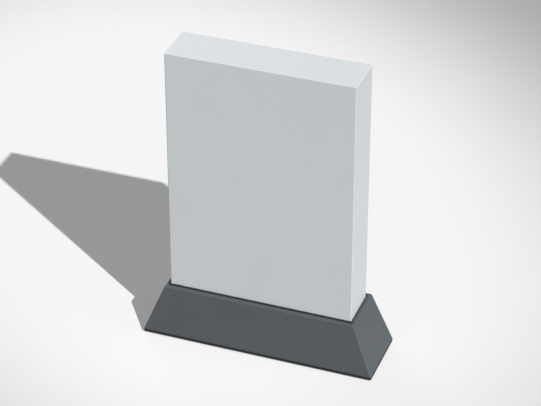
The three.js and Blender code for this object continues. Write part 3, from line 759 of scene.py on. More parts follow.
def wound(name, rgb, centre, pitch):
    """Wound tape: rings about a hub's axis, whose turns differ a little in tone and gloss.

    The noise is read at the distance from the axis over the pitch, in millimetres, and nowhere
    else, so that it is even along a turn.
    """
    material, tree = new_finish(name, {"Specular IOR Level": 0.6})
    axes = put(tree, "SeparateXYZ", {0: millimetres(tree, centre)}).outputs
    flat = put(tree, "CombineXYZ", {"X": axes["X"], "Y": axes["Z"]}).outputs[0]
    radius = put(tree, "VectorMath", {0: flat}, operation="LENGTH").outputs["Value"]
    turn = put(tree, "CombineXYZ", {"X": calculate(tree, "DIVIDE", radius, pitch)}).outputs[0]
    rings = noise(tree, turn, size=1, detail=5, roughness=0.75)
    glint = spread(tree, rings, low=0, high=1, start=0.35, end=0.65)
    return connect(material, {
        "Base Color": mottled(tree, glint, rgb, dark=0.75, light=1.3),
        "Roughness": spread(tree, glint, low=0.28, high=0.45, start=0, end=1),
        "Normal": relief(tree, rings, depth=0.02),
    })


def sheeting(name, rgb, roughness):
    """Thin film: an even colour with slow ripples and fine rub marks."""
    material, tree = new_finish(name, {"Specular IOR Level": 0.55})
    upright = millimetres(tree, stretch=(1, 1, 0.1))
    rub = clouds(tree, upright, size=0.5, detail=4)
    ripple = noise(tree, millimetres(tree), size=6, detail=1)
    return connect(material, {
        "Base Color": mottled(tree, rub, rgb, dark=0.92, light=1.08),
        "Roughness": calculate(tree, "MULTIPLY_ADD", rub, 0.12, roughness),
        "Normal": relief(tree, ripple, depth=0.02),
    })


def refinish(material, slot, *names):
    """Gives nodes of the frame, whose shape stays, a finish; the slot is not used."""
    for name in names:
        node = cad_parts[name]
        node.data.materials.clear()
        node.data.materials.append(material)


# Base

def upper_corner(node):
    """The largest x and y on a node's top, from the frame."""
    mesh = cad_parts[node].data
    points = np.zeros(len(mesh.vertices) * 3)
    mesh.vertices.foreach_get("co", points)
    points = points.reshape(-1, 3)
    return points[np.isclose(points[:, 2], points[:, 2].max())].max(0)[:2]


class STAND_OT_base_body(bpy.types.Operator):
    """Makes the flared base with its slot, its hollow, its wells, its bosses and its ribs"""

    bl_idname = "stand.base_body"
    bl_label = "Base body"

    def execute(self, context):
        sizes, colours, _ = settings()
        low, high = corners("base_shell")
        mouth_low, mouth_high = corners("slot_lining_front")
        foot_x, foot_y = high[:2]
        slot_x, slot_y = mouth_high[0], -mouth_low[1]
        rim_x, rim_y = upper_corner("base_shell")
        foot, rim, slot_bottom = low[2], high[2], mouth_low[2]
        lean_x = (foot_x - rim_x) / (rim - foot)
        lean_y = (foot_y - rim_y) / (rim - foot)
        ceiling = slot_bottom - sizes.slot_floor
        hollow_x, hollow_y = foot_x - sizes.wall, foot_y - sizes.wall
        top_x = hollow_x - lean_x * (ceiling - foot)
        top_y = hollow_y - lean_y * (ceiling - foot)
        corner, slot_corner = sizes.base_corner, sizes.slot_corner
        inset = sizes.hollow_edge * 2
        knots = [
            [top_x - inset, top_y - inset, ceiling, 0, 0],
            [top_x, top_y, ceiling, corner / 2, sizes.hollow_edge],
            [hollow_x, hollow_y, foot, corner / 2, sizes.seam_edge],
            [foot_x, foot_y, foot, corner, sizes.foot_edge],
            [rim_x, rim_y, rim, corner * RIM_CORNER, sizes.rim_edge],
            [slot_x, slot_y, rim, slot_corner, sizes.mouth_edge],
            [slot_x, slot_y, slot_bottom, slot_corner, sizes.seam_edge],
            [slot_x - sizes.seam, slot_y - sizes.seam, slot_bottom, 0, 0],
        ]
        body = carried_piece("base_body", knots, sizes.arc_steps)
        self.cut_wells(body, sizes, slot_x, hollow_x, foot, lean_x, rim_y)
        self.add_bosses(body, sizes, foot, ceiling)
        edge_wear_and_shade = {
            "half": (foot_x + lean_x * foot, foot_y + lean_y * foot),
            "top": rim,
            "lean": (lean_x, lean_y),
            "width": 0.8,
        }
        finish = moulded(
            "base plastic", colours.base, roughness=0.7, grain=0.35, depth=0.03,
            uneven=0.035, edge_wear_and_shade=edge_wear_and_shade, edge_wear_and_shade_tone=1.05, **MATT,
        )
        dress(body, "base", "base_plastic", finish, "base_shell")
        return {"FINISHED"}

    def cut_wells(self, body, sizes, slot_x, hollow_x, foot, lean_x, rim_y):
        """Cuts the well beside each end of the slot, whose outer side follows the slope."""
        inner = slot_x + sizes.slot_wall
        crown = sizes.well_top
        top = foot + (hollow_x - inner - crown) / lean_x
        half = rim_y - sizes.wall
        wells = []
        for side in (-1, 1):
            outline = np.array([
                [side * inner, foot - sizes.wall],
                [side * (hollow_x + lean_x * sizes.wall), foot - sizes.wall],
                [side * (inner + crown), top],
                [side * inner, top],
            ])
            well = prism("well", outline, -half, half)
            well.data.transform(ACROSS)
            wells.append(well)
        combine(body, wells, "DIFFERENCE")

    def add_bosses(self, body, sizes, foot, ceiling):
        """Adds the four bosses with their pilot holes and the ribs over the bar."""
        posts, holes = [], []
        sides = sizes.round_sides // 2
        deep, top = foot - sizes.wall, foot + sizes.boss_height
        bore = sizes.screw_shank + sizes.screw_clearance / 2
        knots = [
            [sizes.boss_radius - sizes.foot_edge * 3, foot, 0],
            [sizes.boss_radius, foot, sizes.foot_edge],
            [sizes.boss_radius, top, sizes.foot_edge * 4],
            [sizes.boss_radius / 4, top, 0],
        ]
        for place in screw_places():
            posts.append(turned_piece("boss", knots, sides, steps=4, centre=(*place, 0)))
            holes.append(rod("pilot", bore, deep, top - sizes.slot_floor, sides, place))
        bar_low, bar_high = corners("ballast_bar")
        half = sizes.rib_width / 2
        for x in (-sizes.rib_spacing, 0, sizes.rib_spacing):
            low = (x - half, bar_low[1] + sizes.slot_wall, bar_high[2])
            high = (x + half, bar_high[1] - sizes.slot_wall, ceiling + sizes.wall / 2)
            posts.append(block("rib", low, high))
        combine(body, posts, "UNION")
        combine(body, holes, "DIFFERENCE")


def screw_places():
    """Where the four screws stand, as (x, y), from the frame."""
    return [middle(f"base_screw_{number}")[:2] for number in BASE_CORNERS]


class STAND_OT_base_plate(bpy.types.Operator):
    """Makes the bottom plate with its ribs round the bar, its foot recesses and its screw holes"""

    bl_idname = "stand.base_plate"
    bl_label = "Base plate"

    def execute(self, context):
        sizes, colours, _ = settings()
        low, high = corners("base_plate")
        top = low[2] + sizes.plate_thickness
        edge, corner = sizes.plate_edge, sizes.base_corner
        inset = edge * 3
        knots = [
            [high[0] - inset, high[1] - inset, low[2], corner / 2, 0],
            [high[0], high[1], low[2], corner, edge],
            [high[0], high[1], top, corner, edge / 2],
            [high[0] - inset, high[1] - inset, top, corner / 2, 0],
        ]
        plate = carried_piece("bottom_plate", knots, sizes.arc_steps)
        combine(plate, [self.bar_ribs(sizes, top, high[2])], "UNION")
        combine(plate, self.openings(sizes, low[2], top), "DIFFERENCE")
        # The plate's dark tone is partly painted shade: its edge draws a dark band along the base's
        # foot.
        finish = moulded(
            "plate plastic", colours.plate, roughness=0.66, grain=0.3, depth=0.025,
            uneven=0.04, **MATT,
        )
        dress(plate, "base", "plate_plastic", finish, "base_plate")
        return {"FINISHED"}

    def bar_ribs(self, sizes, top, crest):
        """The closed rib round the bar: a profile that runs up, over and down, carried round."""
        _, bar = corners("ballast_bar")
        inner = bar[:2] + sizes.bar_room
        outer = inner + sizes.bar_rib
        sunk = top - sizes.plate_thickness / 2
        edge = sizes.plate_edge
        rows = [
            [*inner, sunk, edge],
            [*outer, sunk, edge],
            [*outer, crest - edge, edge],
            [*(outer - edge), crest, edge],
            [*(inner + edge), crest, edge],
            [*inner, crest - edge, edge],
        ]
        points, ring = carried_round(rows, sizes.arc_steps)
        return surface("bar_ribs", points, looped(len(rows), ring))

    def openings(self, sizes, under, top):
        """Recesses for the feet and countersunk holes for the screws."""
        cuts = []
        sides, deep = sizes.round_sides, under - sizes.wall
        for number in BASE_CORNERS:
            foot = f"foot_{number}"
            radius = half_width(foot) + sizes.foot_clearance
            recess = under + sizes.foot_recess
            cuts.append(rod("foot_recess", radius, deep, recess, sides, middle(foot)[:2]))
        for number, place in enumerate(screw_places(), 1):
            head = half_width(f"base_screw_{number}") + sizes.screw_clearance
            shank = sizes.screw_shank + sizes.screw_clearance
            rows = [
                [head, deep],
                [head, under],
                [shank, under + sizes.screw_head + sizes.screw_clearance / 2],
                [shank, top + sizes.wall],
            ]
            points = turned(rows, sides, (*place, 0))
            cuts.append(surface("screw_hole", points, capped(len(rows), sides)))
        return cuts


class STAND_OT_screws(bpy.types.Operator):
    """Makes the base's and the cassette's screws with their threads and cross recesses"""

    bl_idname = "stand.screws"
    bl_label = "Screws"

    def execute(self, context):
        sizes, colours, _ = settings()
        finish = plated("zinc plate", colours.zinc, roughness=0.3)
        for number in BASE_CORNERS:
            node = f"base_screw_{number}"
            screw = self.screw(f"plate_screw_{number}", sizes, *standing(node))
            dress(screw, "base", "steel", finish, node)
        finish = plated("small screw zinc", colours.zinc, roughness=0.32)
        for number in SHELL_SCREWS:
            node = f"cassette_screw_{number}"
            low, high = corners(node)
            start = (0, 0, low[1])
            tall = high[1] - low[1]
            screw = self.screw(
                f"shell_screw_{number}", sizes, half_width(node), tall, start, flat_head=True
            )
            screw.data.transform(turn_about_y(middle(node)))
            dress(screw, "case", "steel", finish, node)
        return {"FINISHED"}

    def screw(self, name, sizes, head, tall, centre, flat_head=False):
        """A screw as one surface of angle a and height h.

        Its radius is the turned profile, and on the shank also a ridge that climbs one pitch in a
        turn: core + (crest - core) * triangle(h / pitch - a / turn), faded in and out at its ends.
        """
        core = sizes.screw_core
        seat = [[head, sizes.screw_head, sizes.seam_edge]] if flat_head else []
        knots = [
            [head * HEAD_FACE, 0, 0],
            [head, 0, sizes.seam_edge],
            *seat,
            [core, sizes.screw_head, sizes.seam_edge],
            [core, tall - sizes.screw_shank, sizes.seam_edge],
            [core / 8, tall, 0],
        ]
        profile = rounded_profile(knots, sizes.arc_steps)
        first = sizes.screw_head * THREAD_ROOM
        last = tall - sizes.screw_shank * THREAD_ROOM
        shank = np.linspace(first, last, THREAD_ROWS)
        before = profile[profile[:, 1] < first]
        after = profile[profile[:, 1] > last]
        thread = np.column_stack([np.full(THREAD_ROWS, core), shank])
        rows = np.concatenate([before, thread, after])
        radius, height = rows[:, :1], rows[:, 1:]
        angle = round_angles(sizes.round_sides)
        turns = height / sizes.screw_pitch - angle / (2 * math.pi)
        ridge = np.clip(1 - np.abs(turns % 1 - 0.5) * 4, 0, 1)
        start = np.clip((height - first) / sizes.screw_pitch, 0, 1)
        end = np.clip((last - height) / sizes.screw_pitch, 0, 1)
        radius = radius + (sizes.screw_shank - core) * ridge * start * end
        points = in_rows(radius * np.cos(angle), radius * np.sin(angle), height)
        screw = surface(name, points + centre, capped(len(rows), sizes.round_sides))
        return combine(screw, [self.cross(sizes, head, centre)], "DIFFERENCE")

    def cross(self, sizes, head, centre):
        """The cross recess: a twelve-cornered outline that narrows from the head's face inwards."""
        long, wide = sizes.cross_length * head, sizes.cross_width / 2
        arm = np.array([[long, -wide], [long, wide], [wide, wide]])
        turn = np.array([[0, 1], [-1, 0]])
        outline = np.concatenate([arm @ np.linalg.matrix_power(turn, i) for i in range(4)])
        outer, inner = CROSS_TAPER
        rings = []
        for share, level in ((outer, -sizes.cross_depth), (inner, sizes.cross_depth)):
            rings.append(np.column_stack([outline * share, np.full(len(outline), level)]))
        points = np.concatenate(rings) + centre
        return surface("cross", points, capped(2, len(outline)))


class STAND_OT_feet(bpy.types.Operator):
    """Makes the four rubber feet"""

    bl_idname = "stand.feet"
    bl_label = "Feet"

    def execute(self, context):
        sizes, colours, _ = settings()
        finish = rubber("foot rubber", colours.rubber)
        for number in BASE_CORNERS:
            node = f"foot_{number}"
            radius, tall, centre = standing(node)
            inner = radius - sizes.foot_round * 2
            knots = [
                [inner, 0, 0],
                [radius, 0, sizes.foot_round],
                [radius, tall, sizes.seam_edge],
                [inner, tall, 0],
            ]
            name = f"rubber_foot_{number}"
            foot = turned_piece(name, knots, sizes.round_sides, sizes.arc_steps, centre)
            dress(foot, "base", "rubber", finish, node)
        return {"FINISHED"}


class STAND_OT_linings(bpy.types.Operator):
    """Makes the felt strips on the walls and the floor of the slot"""

    bl_idname = "stand.linings"
    bl_label = "Felt linings"

    def execute(self, context):
        sizes, colours, _ = settings()
        # The felt's dark tone is partly painted shade: it draws the dark gap round the case at the
        # slot mouth.
        finish = fibrous("slot felt", colours.felt, fibre=0.14, depth=0.12, sheen=0.3)
        for seed, side in enumerate(("front", "back", "left", "right", "floor")):
            node = f"slot_lining_{side}"
            strip = self.strip(f"felt_{side}", sizes, *corners(node), seed)
            dress(strip, "base", "felt", finish, node)
        return {"FINISHED"}

    def strip(self, name, sizes, low, high, seed):
        """A rounded block whose points are drawn in by smooth noise of up to the nap's height."""
        radius = sizes.felt_edge
        lines = []
        for axis in range(3):
            count = max(1, round((high[axis] - low[axis]) / sizes.felt_cell))
            inner = np.linspace(low[axis] + radius, high[axis] - radius, count + 1)
            lines.append(edge_lines(low[axis], high[axis], radius, steps=2, between=inner))
        solid = np.ones([len(line) - 1 for line in lines], bool)
        points, quads = cell_surface(lines, solid)
        points = round_box(points, low, high, radius)
        depth = sizes.felt_nap * smooth_noise(points, sizes.felt_clump, seed)
        inward = np.clip(points, low + 2 * radius, high - 2 * radius) - points
        thin = high - low < 4 * radius
        inward[:, thin] = ((low + high) / 2 - points)[:, thin]
        size = np.maximum(np.linalg.norm(inward, axis=1), radius)
        return surface(name, points + inward / size[:, None] * depth[:, None], quads)


def smooth_noise(points, cell, seed):
    """Noise from 0 to 1: seeded values on a lattice of that cell size, blended smoothly between."""
    random = np.random.default_rng(seed)
    scaled = (points - points.min(0)) / cell
    base = np.floor(scaled).astype(int)
    share = scaled - base
    share = share * share * (3 - 2 * share)
    lattice = random.random(base.max(0) + 2)
    total = np.zeros(len(points))
    for corner in np.ndindex(2, 2, 2):
        weight = np.prod(np.where(corner, share, 1 - share), axis=1)
        total += weight * lattice[tuple((base + corner).T)]
    return total


# Case

def case_box():
    """Outer corners of the closed case."""
    return corners("case_lid")


def hinge_axis(sizes, high):
    """Where the upright hinge axis stands, as (x, y)."""
    return high[:2] - sizes.hinge_inset


def seam_lean(points, place, inner, outer, lean):
    """Slants the seam: points on its plane move along x in step with their place in the wall."""
    points = points.copy()
    on_seam = np.isclose(points[:, 0], place)
    points[on_seam, 0] += lean * (points[on_seam, 1] - inner) / (outer - inner)
    return points


class STAND_OT_case_lid(bpy.types.Operator):
    """Makes the lid: front, spine, both ends and the slanted flap on the back"""

    bl_idname = "stand.case_lid"
    bl_label = "Case lid"

    def execute(self, context):
        sizes, colours, _ = settings()
        low, high = case_box()
        wall, edge, steps = sizes.case_wall, sizes.case_edge, sizes.arc_steps
        seam_x = high[0] - sizes.flap - wall
        notch = 2 * sizes.seam + sizes.ear
        lines = [
            edge_lines(low[0], high[0], edge, steps, [seam_x, high[0] - wall]),
            edge_lines(low[1], high[1], edge, steps, [low[1] + wall, high[1] - wall]),
            edge_lines(low[2], high[2], edge, steps, [
                low[2] + wall, low[2] + wall + notch, high[2] - wall - notch, high[2] - wall,
            ]),
        ]
        x, y, z = np.meshgrid(*[(line[1:] + line[:-1]) / 2 for line in lines], indexing="ij")
        ends = (z < low[2] + wall) | (z > high[2] - wall)
        notches = (z < low[2] + wall + notch) | (z > high[2] - wall - notch)
        flap = (y > high[1] - wall) & (x > seam_x) & ~notches
        solid = ends | (y < low[1] + wall) | (x > high[0] - wall) | flap
        points, quads = cell_surface(lines, solid)
        points = round_box(points, low, high, edge)
        points = seam_lean(points, seam_x, high[1] - wall, high[1], wall)
        lid = surface("lid", points, quads)
        soften(lid, sizes)
        combine(lid, self.pins(sizes, low, high), "UNION")
        finish = case_finish("case plastic", colours, high)
        dress(lid, "case", "case_plastic", finish, "case_lid")
        return {"FINISHED"}

    def pins(self, sizes, low, high):
        """The two short hinge pins on the ends' inner faces."""
        axis, sides = hinge_axis(sizes, high), sizes.round_sides // 2
        reach = sizes.case_wall + sizes.seam + sizes.ear
        sunk = sizes.case_wall / 2
        spans = ((low[2] + sunk, low[2] + reach), (high[2] - reach, high[2] - sunk))
        return [rod("pin", sizes.hinge_radius, *span, sides, axis) for span in spans]


class STAND_OT_case_tray(bpy.types.Operator):
    """Makes the tray: back, opening side, hinge ears and the two hub pegs"""

    bl_idname = "stand.case_tray"
    bl_label = "Case tray"

    def execute(self, context):
        sizes, colours, _ = settings()
        low, high = case_box()
        wall, edge, steps = sizes.case_wall, sizes.case_edge, sizes.arc_steps
        gap = sizes.seam
        seam_x = high[0] - sizes.flap - wall - gap * math.sqrt(2)
        bottom, top = low[2] + wall + gap, high[2] - wall - gap
        lines = [
            edge_lines(low[0], high[0], edge, steps, [low[0] + wall, seam_x]),
            edge_lines(low[1], high[1], edge, steps, [low[1] + wall + gap, high[1] - wall]),
            np.array([bottom, top]),
        ]
        x, y, _ = np.meshgrid(*[(line[1:] + line[:-1]) / 2 for line in lines], indexing="ij")
        back = (y > high[1] - wall) & (x < seam_x)
        side = (x < low[0] + wall) & (y > low[1] + wall + gap)
        points, quads = cell_surface(lines, back | side)
        points = round_box(points, low, high, edge)
        points = seam_lean(points, seam_x, high[1] - wall, high[1], wall)
        tray = surface("tray", points, quads)
        soften(tray, sizes)
        combine(tray, self.ears(sizes, low, high, bottom, top), "UNION")
        combine(tray, self.pegs(sizes, high), "UNION")
        combine(tray, [self.hinge_hole(sizes, low, high)], "DIFFERENCE")
        finish = case_finish("tray plastic", colours, high)
        dress(tray, "case", "case_plastic", finish, "case_tray")
        return {"FINISHED"}

    def ears(self, sizes, low, high, bottom, top):
        """The ears: an outline that runs along the case's end and turns round the hinge axis."""
        wall = sizes.case_wall
        hinge = hinge_axis(sizes, high)
        reach = sizes.hinge_inset - wall - sizes.seam
        angle = np.linspace(0, QUARTER_TURN, sizes.round_sides // 4)
        arc = hinge + reach * np.column_stack([np.cos(angle), np.sin(angle)])
        front = low[1] + wall + sizes.ear_gap
        end = high[0] - sizes.flap - wall
        start, back = low[0] + wall / 2, high[1] - wall / 2
        outline = np.concatenate([
            [[start, front], [hinge[0], front]],
            arc,
            [[end, hinge[1] + reach], [end, back], [start, back]],
        ])
        levels = ((bottom, bottom + sizes.ear), (top - sizes.ear, top))
        return [prism("ear", outline, *level) for level in levels]

    def pegs(self, sizes, high):
        """Each peg is a turned post with three ribs that lie between the hub's teeth.

        It stands in the middle of the tape pack, since a notch makes the hub's own box uneven.
        """
        root = high[1] - sizes.case_wall / 2
        knots = [
            [sizes.peg_radius / 4, -sizes.peg_tip, 0],
            [sizes.peg_radius, -sizes.peg_tip, sizes.foot_round],
            [sizes.peg_radius, root, 0],
        ]
        half = sizes.peg_rib / 2
        rib_start = (0, -half, sizes.foot_round + sizes.seam_edge - sizes.peg_tip)
        rib_end = (sizes.peg_reach, half, root)
        made = []
        for level in LEVELS:
            centre = middle(f"{level}_tape_pack")
            post = turned_piece("peg", knots, sizes.round_sides, sizes.arc_steps)
            post.data.transform(turn_about_y(centre))
            made.append(post)
            for i in range(PEG_RIBS):
                rib = block("peg_rib", rib_start, rib_end)
                angle = HALF_TURN / HUB_TEETH + i * 2 * HALF_TURN / PEG_RIBS
                rib.data.transform(turn_about_y(centre, angle))
                made.append(rib)
        return made

    def hinge_hole(self, sizes, low, high):
        """One long rod at the hinge axis, which cuts both ears."""
        radius, sides = sizes.hinge_radius + sizes.seam, sizes.round_sides // 2
        return rod("hinge_hole", radius, low[2], high[2], sides, hinge_axis(sizes, high))


def turn_about_y(centre, angle=0):
    """Lays an upright axis along y through a centre, turned by an angle about it."""
    place = Matrix.Translation((centre[0], 0, centre[2]))
    return place @ Matrix.Rotation(angle, 4, "Y") @ BACKWARDS


def soften(piece, sizes):
    """Rounds the seams and inner edges, which are sharper than the outer ones."""
    bevel = piece.modifiers.new("seams", "BEVEL")
    bevel.width = sizes.seam_edge
    bevel.segments = 2
    bevel.limit_method = "ANGLE"
    bevel.angle_limit = SEAM_ANGLE
    piece.modifiers.new("weld", "WELD").merge_threshold = WELD_GAP
    settle(piece)
    return piece


def case_finish(name, colours, high):
    """Satin polystyrene whose outer edges are worn glossier and darkened with painted shade."""
    edge_wear_and_shade = {"half": high[:2], "top": high[2], "lean": (0, 0), "width": 0.6}
    # The edge tone of 0.86 paints shade along the case's outer edges.
    return moulded(
        name, colours.case, roughness=0.5, grain=0.32, depth=0.015,
        uneven=0.012, edge_wear_and_shade=edge_wear_and_shade, edge_wear_and_shade_tone=0.86, **SATIN,
    )


# Pieces inside

class STAND_OT_weight(bpy.types.Operator):
    """Finishes the steel bar in the base"""

    bl_idname = "stand.weight"
    bl_label = "Ballast bar"

    def execute(self, context):
        _, colours, _ = settings()
        finish = plated(
            "bar steel", colours.steel, roughness=0.42, stretch=(0.05, 1, 1), spangle=6
        )
        refinish(finish, "steel", "ballast_bar")
        return {"FINISHED"}


class STAND_OT_cassette(bpy.types.Operator):
    """Finishes the card and the cassette's shell, windows and slip sheets"""

    bl_idname = "stand.cassette"
    bl_label = "Cassette"

    def execute(self, context):
        _, colours, _ = settings()
        refinish(paper("card stock", colours.card), "card", "insert_card")
        shell = moulded(
            "shell plastic", colours.shell, roughness=0.5, grain=0.4, depth=0.012,
            uneven=0.03, IOR=1.5,
        )
        refinish(shell, "shell_plastic", "cassette_shell_front", "cassette_shell_back")
        window = clear("window plastic", colours.window)
        refinish(window, "window_plastic", "window_front", "window_back")
        film = sheeting("slip film", colours.film, roughness=0.3)
        refinish(film, "film", "slip_sheet_front", "slip_sheet_back")
        return {"FINISHED"}


class STAND_OT_reels(bpy.types.Operator):
    """Makes the hubs, clips, tape packs, rollers and pins, and finishes the free tape"""

    bl_idname = "stand.reels"
    bl_label = "Reels and tape"

    def execute(self, context):
        sizes, colours, _ = settings()
        plastic = moulded(
            "hub plastic", colours.hub, roughness=0.48, grain=0.5, depth=0.008,
            uneven=0.015, IOR=1.48,
        )
        metal = plated("pin steel", colours.steel, roughness=0.25, stretch=(1, 0.05, 1))
        for level in LEVELS:
            reel, roller = middle(f"{level}_tape_pack"), middle(f"{level}_roller")
            turns = wound(f"{level} tape turns", colours.tape, reel, sizes.winding / MM)
            makes = (
                (self.hub, "hub", f"{level}_reel", "hub_plastic", plastic, reel),
                (self.clip, "hub_clip", f"{level}_reel", "hub_plastic", plastic, reel),
                (self.pack, "tape_pack", f"{level}_reel", "tape", turns, reel),
                (self.roller, "roller", f"{level}_guide_roller", "hub_plastic", plastic, roller),
                (self.pin, "roller_pin", "case", "steel", metal, roller),
            )
            for make, kind, body, slot, finish, axis in makes:
                piece = make(sizes, level)
                piece.data.transform(turn_about_y(axis))
                dress(piece, body, slot, finish, f"{level}_{kind}")
        ribbon = sheeting("tape ribbon", colours.tape, roughness=0.35)
        refinish(ribbon, "tape", "tape_span")
        return {"FINISHED"}

    def hub(self, sizes, level):
        """A turned flange and collar with a bore, teeth in the bore and a notch for the clip."""
        radius, edge = half_width(f"{level}_hub"), sizes.seam_edge
        collar = corners(f"{level}_hub")[1][1]
        flange = corners(f"{level}_tape_pack")[1][1]
        upper = [
            [radius, flange, edge],
            [sizes.hub_collar, flange, edge],
            [sizes.hub_collar, collar, edge],
            [sizes.hub_bore, collar, edge],
        ]
        profile = both_sides(upper, sizes.hub_bore, edge, sizes.arc_steps)
        hub = turned_ring(f"{level}_toothed_hub", profile, 2 * sizes.round_sides)
        combine(hub, self.teeth(sizes, collar), "UNION")
        clip_low, clip_high = corners(f"{level}_hub_clip")
        wide = half_width(f"{level}_hub_clip") + sizes.clip_gap
        deep = radius - (clip_high[2] - clip_low[2]) - sizes.clip_gap
        notch = block("notch", (-wide, -2 * radius, -collar), (wide, -deep, collar))
        return combine(hub, [notch], "DIFFERENCE")

    def teeth(self, sizes, collar):
        """The rounded blocks that stand into a hub's bore, evenly round it."""
        half, edge = sizes.tooth_width / 2, sizes.seam_edge
        inner = (sizes.hub_bore - sizes.tooth_length, -half, edge * 2 - collar)
        outer = ((sizes.hub_bore + sizes.hub_collar) / 2, half, collar - edge * 2)
        teeth = []
        for i in range(HUB_TEETH):
            tooth = block("tooth", inner, outer)
            tooth.data.transform(Matrix.Rotation(i * 2 * HALF_TURN / HUB_TEETH, 4, "Z"))
            teeth.append(soften(tooth, sizes))
        return teeth

    def clip(self, sizes, level):
        """The leader clip: a bar whose outer side follows the hub's rim."""
        low, high = corners(f"{level}_hub_clip")
        radius, half = half_width(f"{level}_hub"), half_width(f"{level}_hub_clip")
        lean = math.asin(half / radius)
        angle = np.linspace(-lean, lean, sizes.arc_steps * 2) - QUARTER_TURN
        rim = radius * np.column_stack([np.cos(angle), np.sin(angle)])
        inner = high[2] - low[2] - radius
        outline = np.concatenate([rim, [[half, inner], [-half, inner]]])
        return soften(prism(f"{level}_leader_clip", outline, low[1], high[1]), sizes)

    def pack(self, sizes, level):
        """The tape's turns: rings whose edges lie unevenly, by random parts of a small step."""
        low, high = corners(f"{level}_tape_pack")
        inner = half_width(f"{level}_hub") + sizes.pack_gap
        outer = half_width(f"{level}_tape_pack")
        radius = np.arange(inner, outer, sizes.winding)
        random = np.random.default_rng(LEVELS.index(level))
        sunk = random.random((2, len(radius))) * sizes.winding_step
        front = np.column_stack([radius, low[1] + sunk[0]])
        back = np.column_stack([radius, high[1] - sunk[1]])
        step = sizes.winding_step
        rim = [[outer, low[1] + step], [outer, high[1] - step]]
        profile = np.concatenate([front, rim, back[::-1]])
        return turned_ring(f"{level}_tape_turns", profile, 2 * sizes.round_sides)

    def roller(self, sizes, level):
        """A guide roller: a tube with a groove in each end."""
        radius, half = half_width(f"{level}_roller"), corners(f"{level}_roller")[1][1]
        bore = half_width(f"{level}_roller_pin") + sizes.roller_bore
        inner, outer = bore + sizes.roller_rim, radius - sizes.roller_rim
        deep, edge = half - sizes.roller_groove, sizes.seam_edge
        upper = [
            [radius, half, edge],
            [outer, half, edge],
            [outer, deep, edge],
            [inner, deep, edge],
            [inner, half, edge],
            [bore, half, edge],
        ]
        profile = both_sides(upper, bore, edge, sizes.arc_steps)
        return turned_ring(f"{level}_tape_roller", profile, sizes.round_sides)

    def pin(self, sizes, level):
        """A plain pin with rounded ends."""
        node, edge = f"{level}_roller_pin", sizes.seam_edge
        low, high = corners(node)
        radius = half_width(node)
        knots = [
            [radius / 2, low[1], 0],
            [radius, low[1], edge],
            [radius, high[1], edge],
            [radius / 2, high[1], 0],
        ]
        return turned_piece(f"{level}_steel_pin", knots, sizes.round_sides, sizes.arc_steps)


def both_sides(upper, bore, edge, steps):
    """The rounded profile of a ring whose lower half mirrors the upper, closed along its bore."""
    lower = [[across, -height, rounding] for across, height, rounding in upper[::-1]]
    return rounded_profile([[bore, -edge, 0], *lower, *upper, [bore, edge, 0]], steps)


class STAND_OT_pad(bpy.types.Operator):
    """Finishes the pressure pad, its spring and the shield behind it"""

    bl_idname = "stand.pad"
    bl_label = "Pressure pad"

    def execute(self, context):
        _, colours, _ = settings()
        along = (1, 1, 0.05)
        spring = plated("spring bronze", colours.bronze, roughness=0.3, stretch=along)
        refinish(spring, "bronze", "pad_spring")
        pad = fibrous("pad felt", colours.pad, fibre=0.15, depth=0.04, sheen=0.2)
        refinish(pad, "pad_felt", "pressure_pad")
        shield = plated("shield steel", colours.steel, roughness=0.35, stretch=along)
        refinish(shield, "steel", "shield_plate")
        return {"FINISHED"}


# Stage

